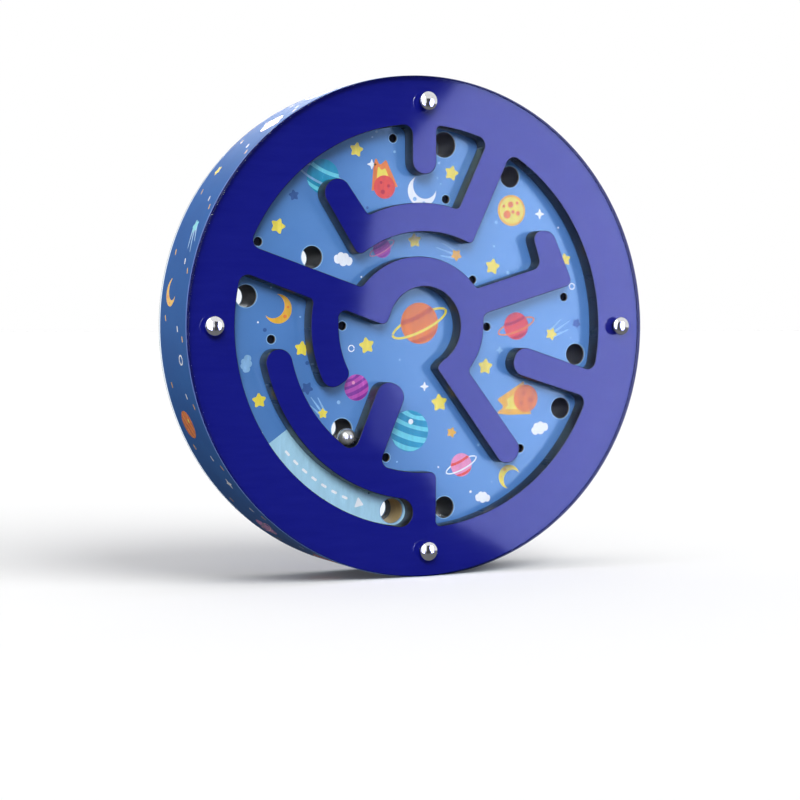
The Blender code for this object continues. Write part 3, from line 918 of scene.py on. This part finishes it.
def flame(centre, size, turn, width, reach):
    """The swept flame behind a meteor."""
    along = polar(size, turn)
    side = left_of(along) * width
    back = centre - along * 0.15
    bend = centre + along * reach * 0.62
    tip = centre + along * reach
    path = [(back + side, 0), (bend + side * 0.62, size * 0.3), (tip + side * 0.30, size * 0.1),
            (bend + side * 0.10 + along * 0.2, size * 0.2),
            (tip - side * 0.45 - along * 0.4, size * 0.1),
            (bend - side * 0.66 - along * 0.3, size * 0.3), (back - side, 0)]
    return rounded(path, PRINT_SAG)


def cloud(centre, size, turn):
    """A small cloud of round puffs."""
    corner_shares = ((-1.0, -0.30), (-0.72, 0.24), (-0.10, 0.50), (0.52, 0.30), (1.0, -0.20),
                     (0.42, -0.52), (-0.36, -0.56))
    along = polar(size, turn)
    points = [centre + along * x + left_of(along) * y for x, y in corner_shares]
    outline = []
    for point, following in zip(points, points[1:] + points[:1]):
        outline += [point] + bow_points(point, following, PUFF_BOW)
    return outline


# Motifs: how far each reaches as a share of its size, then its shapes, as the place
# of the shape's ink among the motif's inks, its level, its outline and its shares
MOTIFS = {
    "star": (1.0, ((0, 1, star),)),
    "sparkle": (1.0, ((0, 1, star, 4, 0.38, 0.08),)),
    "loop": (1.2, ((0, 1, ring_part, 1.0, 1.0, 0.35, 0, 350),)),
    "moon": (1.0, (
        (0, 1, disc), (1, 2, disc, 0, 0, 0.86), (2, 3, disc, 0.38, 70, 0.20),
        (2, 3, disc, 0.42, 190, 0.26), (2, 3, disc, 0.50, 310, 0.15), (2, 3, disc, 0.62, 125, 0.10),
        (2, 3, disc, 0.14, 290, 0.12), (2, 3, disc, 0.64, 20, 0.11))),
    "banded": (1.0, (
        (0, 2, disc), (1, 3, stripe, -0.86, -0.62), (1, 3, stripe, -0.34, -0.06),
        (1, 3, stripe, 0.24, 0.44), (1, 3, stripe, 0.72, 0.90), (2, 4, disc, 0.45, 100, 0.13))),
    "ringed": (1.6, (
        (2, 1, ring_part, 1.55, 0.26, 0.13, 12, 168), (0, 2, disc), (1, 3, stripe, 0.30, 0.52),
        (1, 3, stripe, -0.80, -0.58), (2, 4, ring_part, 1.55, 0.26, 0.13, 172, 368))),
    "crescent": (1.0, (
        (0, 1, crescent), (1, 2, disc, 0.72, 165, 0.13), (1, 2, disc, 0.74, 220, 0.09))),
    "comet": (2.2, (
        (1, 1, trail, -0.45, 2.6), (1, 1, trail, 0.0, 3.4), (1, 1, trail, 0.45, 2.4),
        (0, 2, star, 5, 0.54, 0.15, 180))),
    "meteor": (2.0, (
        (1, 1, flame, 1.25, 2.7), (2, 2, flame, 0.78, 2.0), (0, 3, disc), (3, 4, disc, 0.45, 150, 0.20),
        (3, 4, disc, 0.40, 275, 0.15), (3, 4, disc, 0.50, 30, 0.13))),
    "cloud": (1.1, ((0, 1, cloud),)),
}


class Print:
    """A print: flat inked shapes on a sheet, gathered by ink."""

    def __init__(self, name, face, place, slot, keep_off=()):
        self.name = name
        self.face = face
        self.place = place
        self.slot = slot
        self.keep_off = list(keep_off)
        self.solids = defaultdict(Solid)

    def shape(self, ink_name, outline, level=1, holes=()):
        """Add one inked shape; a higher level lies on the lower ones."""
        rows = [(0, self.face - INK_ROOT), (0, self.face + level * INK_STEP)]
        self.solids[ink_name].slab(without_doubles(outline), holes, rows)

    def motif(self, kind, ink_names, centre, size, turn):
        """Draw a motif and keep the small dots off it."""
        reach, shapes = MOTIFS[kind]
        for order, level, outline, *shares in shapes:
            self.shape(ink_names.split()[order], outline(centre, size, turn, *shares), level)
        self.keep_off.append((centre, size * reach))

    def free(self, centre, radius):
        """Whether a round place is clear of holes and of what is drawn."""
        return all((centre - other).length > radius + reach for other, reach in self.keep_off)

    def make(self, inks, cut=0.0):
        """One piece for each ink, cut across where it follows a round surface."""
        for ink_name, solid in sorted(self.solids.items()):
            if cut:
                slice_up(solid.shape, cut)
            solid.finish(f"{self.name}_{ink_name}", self.place, [inks[ink_name]], CASE, self.slot)


def slice_up(shape, step):
    """Cut the flat shapes across at even steps."""
    places = [vertex.co.x for vertex in shape.verts]
    for index in range(math.floor(min(places) / step) + 1, math.ceil(max(places) / step)):
        geometry = shape.verts[:] + shape.edges[:] + shape.faces[:]
        bmesh.ops.bisect_plane(shape, geom=geometry, dist=SAME_PLACE,
                               plane_co=(index * step, 0, 0), plane_no=(1, 0, 0))


# Motif and its inks, then where: x, y and size in millimetres, and the turn in degrees
FRONT_MOTIFS = (
    ("ringed", "orange amber yellow", ((1, 1, 7.5, 24),)),
    ("ringed", "teal aqua pale", ((-37, 53, 6.2, -22),)),
    ("meteor", "red orange yellow crimson", ((-13, 50, 4.2, 100),)),
    ("star", "yellow", (
        (-24, 63, 3.1, 80), (14, 56, 3.3, 75), (-54, 35, 3.3, 70), (-1, 31, 3.1, 95),
        (31, 22, 3.5, 80), (62, 25, 2.9, 100), (28, -15, 3.5, 85), (9, -28, 3.8, 95),
        (-20, -7, 3.5, 100), (-45, -8, 3.2, 85), (-61, -26, 3.1, 95))),
    ("sparkle", "white", (
        (-18, 58, 2.1, 90), (51, 42, 2.3, 90), (3, -22, 2.0, 90), (-21, -33, 2.1, 90))),
    ("crescent", "white pale", ((2, 49, 5.7, 60),)),
    ("loop", "white", ((19, 50, 1.1, 0), (65, 15, 1.1, 0), (-26, -8, 1.1, 0))),
    ("star", "deep", ((-48, 46, 2.3, 100), (67, 1, 2.3, 60), (-43, -22, 2.7, 60))),
    ("cloud", "white", ((-29, 24, 3.5, -12), (51, -38, 3.5, 15), (27, -63, 3.0, -8))),
    ("ringed", "magenta violet pink", ((-14, 28, 3.5, 30),)),
    ("comet", "gold pale", ((16, 26, 2.6, 162),)),
    ("moon", "gold yellow orange", ((39, 43, 5.8, 30),)),
    ("ringed", "red crimson orange", ((41, 0, 5.1, 20),)),
    ("comet", "yellow pale", ((56, -3, 2.8, 32), (-37, -31, 2.2, 128))),
    ("meteor", "orange gold yellow amber", ((45, -27, 5.1, 195),)),
    ("sparkle", "pale", ((34, -9, 1.8, 90),)),
    ("crescent", "yellow gold", ((38, -56, 4.4, -40),)),
    ("ringed", "pink red white", ((18, -51, 4.3, 24),)),
    ("banded", "teal aqua white", ((-3, -38, 7.5, -18),)),
    ("star", "gold", ((14, -39, 2.3, 70),)),
    ("banded", "magenta violet pink", ((-24, -22, 4.7, 25),)),
    ("crescent", "gold orange", ((-54, 6, 5.2, 150),)),
    ("cloud", "pale", ((-66, -13, 3.0, 80),)),
)
BACK_MOTIFS = (
    ("moon", "orange yellow gold", ((8, 3, 8.9, 70),)),
    ("banded", "teal aqua white", ((45, 42, 6.1, 15),)),
    ("ringed", "pink red white", ((1, 43, 5.7, -20),)),
    ("comet", "yellow pale", ((12, 56, 2.5, 35),)),
    ("meteor", "red orange yellow crimson", ((50, 12, 4.6, 190),)),
    ("crescent", "yellow gold", ((-33, -1, 4.0, 160),)),
    ("banded", "magenta violet pink", ((-13, -46, 6.6, -25),)),
    ("ringed", "orange amber yellow", ((49, -19, 3.5, 30),)),
    ("banded", "orange amber yellow", ((15, -43, 5.7, 15),)),
    ("ringed", "teal aqua pale", ((-28, 44, 5.3, 15),)),
    ("meteor", "orange gold yellow amber", ((26, 22, 4.4, 60),)),
    ("crescent", "gold orange", ((-57, 1, 4.6, 40),)),
    ("moon", "amber orange gold", ((-38, 15, 4.3, 10),)),
    ("ringed", "red crimson orange", ((-34, -50, 4.6, -25),)),
    ("cloud", "white", ((63, 26, 2.8, 70), (27, -12, 3.5, -10), (-8, -24, 3.5, 8))),
    ("star", "yellow", (
        (-30, 60, 3.1, 80), (27, 56, 3.1, 100), (-5, 55, 3.3, 70), (46, 1, 2.8, 60),
        (-62, 23, 2.8, 95), (-13, 12, 3.1, 110), (-44, -44, 2.8, 90), (10, -26, 3.3, 85),
        (40, -44, 3.1, 100))),
    ("star", "gold", ((18, -61, 3.1, 70),)),
    ("star", "deep", ((-46, -25, 2.6, 75),)),
    ("sparkle", "white", ((9, 30, 2.5, 85), (35, -53, 2.3, 90), (-22, -30, 2.5, 90))),
    ("loop", "white", ((-56, -24, 1.2, 0), (30, 10, 1.2, 0))),
)

# The wrap of the edge repeats these along its length: motif, way across and size in
# millimetres, turn, inks
BAND_MOTIFS = (
    ("ringed", 3.5, 4.8, 80, "red crimson orange"),
    ("star", -6.0, 2.5, 70, "yellow"),
    ("comet", 4.0, 3.0, 20, "aqua pale"),
    ("crescent", -4.0, 5.0, 130, "gold orange"),
    ("loop", 6.5, 1.6, 0, "white"),
    ("banded", -3.5, 5.2, 30, "orange amber yellow"),
    ("sparkle", 5.5, 2.6, 90, "white"),
    ("ringed", -2.0, 4.6, 110, "magenta violet pink"),
)
BAND_REPEATS = 3
BAND_FACE = DISC_RADIUS - INK_LEVELS * INK_STEP
BAND_CUT = 1.5 * MM
# Width of the pale strip along each edge of the wrap's printed face, a painted highlight
WRAP_HIGHLIGHT_WIDTH = 0.45 * MM
BAND_DASH = 2.2 * MM
BAND_DASH_WIDTH = 0.7 * MM
BAND_DASH_DEGREES = 18

# Ink of each dash in a step of the wrap, its share of the step and its rise in millimetres
BAND_DASHES = (("white", 0.00, 4.6), ("gold", -0.16, -8.5), ("gold", 0.15, 9.5))

# The pale stretch of lane that leads to the hole to the other side
PALE_START_DEGREES = 215.6
PALE_END_DEGREES = 268.5
PALE_INNER_RADIUS = 60.0 * MM
PALE_OUTER_RADIUS = 74.5 * MM
LANE_MIDDLE_SHARE = 0.931
LANE_DASHES = 7
LANE_DASH_START_DEGREES = 221.5
LANE_DASH_STEP_DEGREES = 3.9
LANE_DASH = 2.4 * MM
LANE_DASH_WIDTH = 0.9 * MM
LANE_ARROW_DEGREES = 249.0
ARROW_LENGTH = 3.2 * MM
ARROW_HALF_WIDTH = 2.1 * MM
ARROW_ROUND = 0.3 * MM

# Small dots over the sheet, and the pale rims of its holes
SPECKLES = 150
SPECKLE_SEED = 5
SPECKLE_RADII = (0.35 * MM, 0.35 * MM, 0.5 * MM, 0.7 * MM)
SPECKLE_GAP = 1.2 * MM
SPECKLE_INKS = ("pale", "pale", "deep", "white")
RIM_WIDTH = 0.28 * MM


def draw_speckles(page, seed):
    """Scatter small dots where there is room."""
    chance = random.Random(seed)
    for index in range(SPECKLES):
        radius = chance.choice(SPECKLE_RADII)
        place = polar(LANE_RADIUS * math.sqrt(chance.random()), 360 * chance.random())
        tone = chance.choice(SPECKLE_INKS)
        if page.free(place, radius + SPECKLE_GAP):
            page.shape(tone, disc(place, radius))
            page.keep_off.append((place, radius))


def draw_pale_lane(page):
    """The pale floor of the lane to the next hole, its dashes and its arrow."""
    floor = []
    for radius, start, end in ((PALE_OUTER_RADIUS, PALE_START_DEGREES, PALE_END_DEGREES),
                               (PALE_INNER_RADIUS, PALE_END_DEGREES, PALE_START_DEGREES)):
        floor += [polar(radius, start)] + turn_points(radius, start, end) + [polar(radius, end)]
    hole = polar(NEXT_SHARE[0] * LANE_RADIUS, NEXT_SHARE[1])
    page.shape("lane", floor, 1, round_holes([(hole, NEXT_DIAMETER / 2)]))
    middle = LANE_MIDDLE_SHARE * LANE_RADIUS
    for index in range(LANE_DASHES):
        degrees = LANE_DASH_START_DEGREES + index * LANE_DASH_STEP_DEGREES
        place = polar(middle, degrees)
        half = polar(LANE_DASH / 2, degrees + 90)
        page.shape("white", streak(place - half, place + half, LANE_DASH_WIDTH, LANE_DASH_WIDTH), 2)
    place = polar(middle, LANE_ARROW_DEGREES)
    along = polar(1.0, LANE_ARROW_DEGREES + 90)
    side = left_of(along) * ARROW_HALF_WIDTH
    corners = (place + side, place - side, place + along * ARROW_LENGTH)
    page.shape("white", rounded([(corner, ARROW_ROUND) for corner in corners], PRINT_SAG), 2)


def make_sheet_print(side, name, motifs, inks):
    """All of one sheet's print."""
    places = hole_places(side) + dimple_places(side)
    page = Print(name, SHEET_FACE, stand(side), "printed_paper", places)
    for kind, ink_names, rows in motifs:
        for x, y, size, turn in rows:
            page.motif(kind, ink_names, Vector((x, y)) * MM, size * MM, turn)
    if side == FRONT:
        draw_pale_lane(page)
    for centre, radius in places:
        rim = circle(radius + RIM_WIDTH, HOLE_SIDES, centre)
        page.shape("pale", rim, 3, round_holes([(centre, radius)]))
    draw_speckles(page, SPECKLE_SEED + side)
    page.make(inks)


def wrap_round(along, across, radius):
    """The place on the rim from the way along it and across it."""
    angle = along / DISC_RADIUS
    return Vector((radius * math.cos(angle), -across, CENTRE_HEIGHT + radius * math.sin(angle)))


def make_band_print(inks):
    """Motifs and dashes along the wrap of the edge."""
    page = Print("edge_motif", BAND_FACE, wrap_round, "edge_print")
    rows = BAND_MOTIFS * BAND_REPEATS
    pitch = 2 * math.pi * DISC_RADIUS / len(rows)
    for index, (kind, across, size, turn, ink_names) in enumerate(rows):
        place = Vector((pitch * (index + 0.5), across * MM))
        page.motif(kind, ink_names, place, size * MM, turn)
        for ink_name, share, rise in BAND_DASHES:
            start = Vector((pitch * (index + share), rise * MM))
            end = start + polar(BAND_DASH, BAND_DASH_DEGREES)
            page.shape(ink_name, streak(start, end, BAND_DASH_WIDTH, BAND_DASH_WIDTH))
    page.make(inks, BAND_CUT)


# Pieces

def make_layers():
    """Frames, sheets, covers, board and wrap."""
    paint = painted_wood()
    wall = cut_wall()
    pit = pit_wall()
    sheet = paper("printed_paper")
    pane = clear_pane()
    edge = clear_edge()
    rivets = round_holes([(centre, POST_RADIUS + RIVET_CLEARANCE) for centre in rivet_places()])
    lanes = {FRONT: rounded(lane_path(FRONT_LANE_SHARES)), BACK: rounded(back_lane_path())}
    for side, name in ((FRONT, "front"), (BACK, "back")):
        holes = round_holes(hole_places(side) + dimple_places(side))
        plate(name + "_maze_layer", side, [lanes[side]] + rivets, FRAME_BACK, FRAME_FACE,
              [paint, wall], "painted_wood", name + "_maze_frame")
        plate(name + "_sheet", side, holes + rivets, SHEET_BACK, SHEET_FACE,
              [sheet, sheet], "printed_paper", name + "_art_sheet", rounding=SHEET_ROUND)
        plate(name + "_clear_cover", side, rivets, FRAME_FACE + COVER_LIFT, COVER_FACE, [pane, edge],
              "clear_acrylic", name + "_cover", radius=COVER_RADIUS, rounding=COVER_ROUND, rim=1)
    make_board(rivets, bare_wood(), pit)
    make_wrap(paper("edge_print"), paper("core_and_edge_highlight"))


def make_board(rivets, wood, pit):
    """The board, with its through holes and its shallow ones."""
    solid = Solid()
    rows = [(0, -BOARD_FACE), (0, BOARD_FACE)]
    walls = [solid.wall(directed(circle(LAYER_RADIUS, CIRCLE_SIDES), True), rows)]
    for index, hole in enumerate(round_holes(hole_places(FRONT)) + rivets):
        wooden = index > len(TRAP_SHARES)
        walls.append(solid.wall(directed(hole, False), rows, 0 if wooden else 1))
    for side in (FRONT, BACK):
        floor = side * (BOARD_FACE - DIMPLE_DEPTH)
        caps = [wall[-1 if side == FRONT else 0] for wall in walls]
        for centre, radius in dimple_places(side):
            dimple = circle(radius, HOLE_SIDES, (side * centre.x, centre.y))
            rings = solid.wall(directed(dimple, side == BACK), [(0, side * BOARD_FACE), (0, floor)], 1)
            caps.append(rings[0])
            solid.cap([rings[-1]], 1)
        solid.cap(caps)
    solid.finish("board", stand(FRONT), [wood, pit], CASE, "raw_wood", ("maze_board",))


def make_wrap(printed, core_and_highlight):
    """The printed wrap round the edge: its cut edges show the paper's pale core, and a pale strip
    beside each of them on the printed face is a painted highlight where the edge catches the light.
    """
    solid = Solid()
    highlight_start = BAND_EDGE - WRAP_HIGHLIGHT_WIDTH
    rows = edge_rows(-BAND_EDGE, BAND_EDGE, WRAP_ROUND)
    rows[EDGE_STEPS + 1:EDGE_STEPS + 1] = [(0, -highlight_start), (0, highlight_start)]
    outer = solid.wall(directed(circle(BAND_FACE, CIRCLE_SIDES), True), rows)
    inner = solid.wall(directed(circle(DISC_RADIUS - WRAP_THICKNESS, CIRCLE_SIDES), False),
                       [(0, rows[0][1]), (0, rows[-1][1])])
    # The pale strip along each edge of the printed face is a painted highlight; the cut edges show the
    # paper's core
    for face in solid.shape.faces:
        if abs(face.calc_center_median().z) > highlight_start:
            face.material_index = 1
    solid.cap([outer[0], inner[0]], 1)
    solid.cap([outer[-1], inner[-1]], 1)
    solid.finish("edge_wrap", stand(FRONT), [printed, core_and_highlight], CASE, "edge_print", ("edge_band",))


def head_profile(underside):
    """A domed head from its crown to its underside."""
    profile = []
    for step in range(HEAD_RINGS + 1):
        angle = math.radians(90) * step / HEAD_RINGS
        height = underside + HEAD_RIM + (HEAD_TOP - underside - HEAD_RIM) * math.cos(angle)
        profile.append((HEAD_RADIUS * math.sin(angle), height))
    return profile + [(HEAD_RADIUS - HEAD_TUCK, underside)]


def make_rivets():
    """Four posts from the front and four pins from the back."""
    chrome = steel("rivet_chrome_looks", CHROME, 0.05, 1.0)
    underside = COVER_FACE + SEAT_GAP
    bore = PIN_RADIUS + RIVET_CLEARANCE
    bore_top = RIVET_CLEARANCE - PIN_END
    post = head_profile(underside)
    post += [(POST_RADIUS, underside), (POST_RADIUS, POST_END), (bore, POST_END), (bore, bore_top),
             (0.0, bore_top)]
    pin = head_profile(underside)
    pin += [(PIN_RADIUS, underside), (PIN_RADIUS, PIN_END), (0.0, PIN_END)]
    for index, centre in enumerate(rivet_places()):
        for side, kind, profile in ((FRONT, "post", post), (BACK, "pin", pin)):
            def place(x, y, depth, side=side, centre=centre):
                return stand(side)(x + side * centre.x, y + centre.y, depth)
            turned(f"rivet_{kind}_head_{index + 1}", profile, HEAD_SIDES, place, chrome,
                   CASE, "rivet_chrome", f"rivet_{kind}_{index + 1}")


def make_ball():
    """The rolling ball."""
    material = steel("ball_steel_looks", BALL_STEEL, 0.13, 0.72)
    angles = [math.pi * step / BALL_RINGS for step in range(1, BALL_RINGS)]
    profile = [(BALL_RADIUS * math.sin(angle), BALL_RADIUS * math.cos(angle)) for angle in angles]
    profile = [(0.0, BALL_RADIUS)] + profile + [(0.0, -BALL_RADIUS)]

    def place(x, y, height):
        return BALL_CENTRE + Vector((x, y, height))
    turned("rolling_ball", profile, BALL_SIDES, place, material, BALL, "ball_steel", "steel_ball")


# Camera, floor and light

CAMERA_YAW = math.radians(25.97)
CAMERA_DISTANCE = 659.7 * MM
CAMERA_LENS = 82.8
SENSOR_WIDTH = 36.0
PICTURE_WIDTH = 800
FOCAL_PIXELS = CAMERA_LENS / SENSOR_WIDTH * PICTURE_WIDTH
DISC_PIXEL = (428.0, 326.0)

# Where the sheen on the paint begins, in pixels of the photograph, and where it
# fades in over the spur
SHEEN_PIXELS = ((458, 83), (440, 105), (415, 135), (372, 215), (363.5, 292), (361, 320),
                (428.7, 472), (457, 524), (486, 537), (509, 551))
HALF_SHEEN_PIXELS = ((361, 320), (364, 380), (368, 440), (428.7, 472))
HALF_SHEEN_LIFT = 0.004

# Cards that only reflections see: their place, and their tone at the left and the right
CARD_DISTANCE = 0.60
CARD_HIGH = 0.34
CARD_LOW = -0.16
CARD_LEFT = 0.06
CARD_RIGHT = 0.62
RIM_CARD_LEFT = -0.60
RIM_CARD_RIGHT = -0.08
TABLE_CARD_DEPTH = 0.22
TABLE_CARD_REACH = 3.0
SHEEN_LEAN = 0.3
SHEEN_TONES = ((2.3, 2.5, 5.2), (4.1, 4.3, 8.6))
HALF_SHEEN_TONES = ((0.8, 0.85, 1.8), (2.6, 2.8, 5.6))
FLAG_TONE = (0.07, 0.07, 0.08)
TABLE_TONE = (0.20, 0.20, 0.21)

# Lamps: name, direction that the light comes from, apparent width in degrees,
# strength, whether it lights the floor alone or all but the floor, and its shadow
SUNS = (
    ("key", (-0.34, -0.84, 0.42), 24.0, 2.15, "EXCLUDE", True),
    ("fill", (-0.62, -0.40, 0.68), 46.0, 1.15, "EXCLUDE", True),
    ("back", (0.30, 0.85, 0.42), 30.0, 1.5, "EXCLUDE", True),
    ("floor_key", (0.35, -0.75, 0.80), 44.0, 2.0, "INCLUDE", True),
    ("floor_fill", (0.0, 0.0, 1.0), 40.0, 0.45, "INCLUDE", False),
)
SKY_LOW = 0.04
SKY_HIGH = 0.80
FLOOR_SIZE = 60.0
FLOOR_SEEN_TONE = (0.90, 0.90, 0.90)
FLOOR_BOUNCE_TONE = (0.26, 0.26, 0.26)


def camera_place():
    """The camera's place and the direction it looks in."""
    ahead = Vector((math.sin(CAMERA_YAW), math.cos(CAMERA_YAW), 0.0))
    return Vector((0.0, -COVER_FACE, CENTRE_HEIGHT)) - ahead * CAMERA_DISTANCE, ahead


def make_camera():
    """The photograph's camera, with its lens shifted onto the disc's centre."""
    data = bpy.data.cameras.new("camera")
    data.lens = CAMERA_LENS
    data.sensor_width = SENSOR_WIDTH
    data.shift_x = 0.5 - DISC_PIXEL[0] / PICTURE_WIDTH
    data.shift_y = DISC_PIXEL[1] / PICTURE_WIDTH - 0.5
    camera = placed("camera", data)
    camera.location = camera_place()[0]
    camera.rotation_euler = (math.radians(90), 0.0, -CAMERA_YAW)
    bpy.context.scene.camera = camera


def reflected_place(pixel):
    """Where the paint mirrors a pixel of the photograph onto the cards' plane."""
    place, ahead = camera_place()
    right = Vector((ahead.y, -ahead.x, 0.0))
    ray = (ahead + right * (pixel[0] - DISC_PIXEL[0]) / FOCAL_PIXELS
           + Vector((0.0, 0.0, DISC_PIXEL[1] - pixel[1])) / FOCAL_PIXELS)
    touch = place + ray * ((-FRAME_FACE - place.y) / ray.y)
    return touch + Vector((ray.x, -ray.y, ray.z)) * (CARD_DISTANCE / ray.y)


def glow_card(name, corners, near, far):
    """A card with a tone that changes along x and a little along z."""
    mesh = bpy.data.meshes.new(name)
    mesh.from_pydata([tuple(corner) for corner in corners], [], [tuple(range(len(corners)))])
    card = placed(name, mesh)
    looks = Looks(name + "_tone")
    axes = looks.axes(looks.place)
    lean = looks.math("MULTIPLY", looks.math("SUBTRACT", axes[2], CENTRE_HEIGHT), SHEEN_LEAN)
    places = [corner[0] for corner in corners]
    share = looks.ramp(looks.math("ADD", axes[0], lean), min(places), max(places))
    mesh.materials.append(looks.surface(
        looks.add("ShaderNodeEmission", {"Color": looks.mix(share, near, far)})))
    card.visible_camera = False
    card.visible_diffuse = False
    card.visible_transmission = False
    card.visible_shadow = False


def make_cards():
    """A sheen card to the right of an edge, a dark flag to its left, and a dark table."""
    edge = [reflected_place(pixel) for pixel in SHEEN_PIXELS]
    depth = edge[0].y
    edge = [Vector((edge[0].x, depth, CARD_HIGH))] + edge + [Vector((edge[-1].x, depth, CARD_LOW))]
    right, left, rim_left, rim_right = (
        [Vector((x, depth, CARD_LOW)), Vector((x, depth, CARD_HIGH))]
        for x in (CARD_RIGHT, CARD_LEFT, RIM_CARD_LEFT, RIM_CARD_RIGHT))
    lift = Vector((0.0, HALF_SHEEN_LIFT, 0.0))
    half = [reflected_place(pixel) + lift for pixel in HALF_SHEEN_PIXELS]
    reach = TABLE_CARD_REACH
    table = [Vector((x, y, -TABLE_CARD_DEPTH)) for x, y in
             ((-reach, -reach), (reach, -reach), (reach, reach), (-reach, reach))]
    glow_card("sheen_card", edge + right, *SHEEN_TONES)
    glow_card("dark_flag", edge + left, FLAG_TONE, FLAG_TONE)
    glow_card("half_sheen_card", half, *HALF_SHEEN_TONES)
    glow_card("rim_card", rim_right + rim_left[::-1], SHEEN_TONES[1], SHEEN_TONES[1])
    glow_card("table_card", table, TABLE_TONE, TABLE_TONE)


def make_floor():
    """The floor: white to the camera, and a dull grey to what it lights."""
    bpy.ops.mesh.primitive_plane_add(size=FLOOR_SIZE)
    floor = bpy.context.object
    floor.name = "floor"
    looks = Looks("floor_white")
    seen = looks.add("ShaderNodeLightPath").outputs["Is Camera Ray"]
    tone = looks.mix(seen, FLOOR_BOUNCE_TONE, FLOOR_SEEN_TONE)
    floor.data.materials.append(looks.dress(tone, 0.9, specular=0.0))
    floor.visible_glossy = False
    return floor


def make_world():
    """A white backdrop to the eye, and a plain light from above."""
    world = bpy.data.worlds.new("studio")
    bpy.context.scene.world = world
    sky = Nodes(world)
    backdrop = sky.tree.nodes["Background"]
    path = sky.add("ShaderNodeLightPath").outputs
    seen = sky.math("MAXIMUM", path["Is Camera Ray"], path["Is Glossy Ray"])
    seen = sky.math("MAXIMUM", seen, path["Is Transmission Ray"])
    direction = sky.axes(sky.add("ShaderNodeTexCoord").outputs["Generated"])
    light = sky.ramp(direction["Z"], 0.0, 1.0, SKY_LOW, SKY_HIGH)
    sky.feed(backdrop, "Color", WHITE)
    sky.feed(backdrop, "Strength", sky.math("MAXIMUM", seen, light))


def make_sun(name, direction, width_degrees, strength, floor_state, shadow, floor):
    """A lamp that lights the floor alone (INCLUDE) or all but the floor (EXCLUDE)."""
    data = bpy.data.lights.new(name, "SUN")
    data.use_shadow = shadow
    data.energy = strength
    data.angle = math.radians(width_degrees)
    sun = placed(name, data)
    sun.location = direction
    sun.rotation_euler = Vector(direction).to_track_quat("Z", "Y").to_euler()
    receivers = bpy.data.collections.new(name + "_receivers")
    receivers.objects.link(floor)
    receivers.collection_objects[0].light_linking.link_state = floor_state
    sun.light_linking.receiver_collection = receivers


bpy.context.scene.view_settings.view_transform = "Standard"
make_camera()
studio_floor = make_floor()
make_cards()
make_world()
for row in SUNS:
    make_sun(*row, studio_floor)
make_layers()
make_rivets()
make_ball()
ink_materials = {name: ink(name) for name in INKS}
make_sheet_print(FRONT, "front_print", FRONT_MOTIFS, ink_materials)
make_sheet_print(BACK, "back_print", BACK_MOTIFS, ink_materials)
make_band_print(ink_materials)
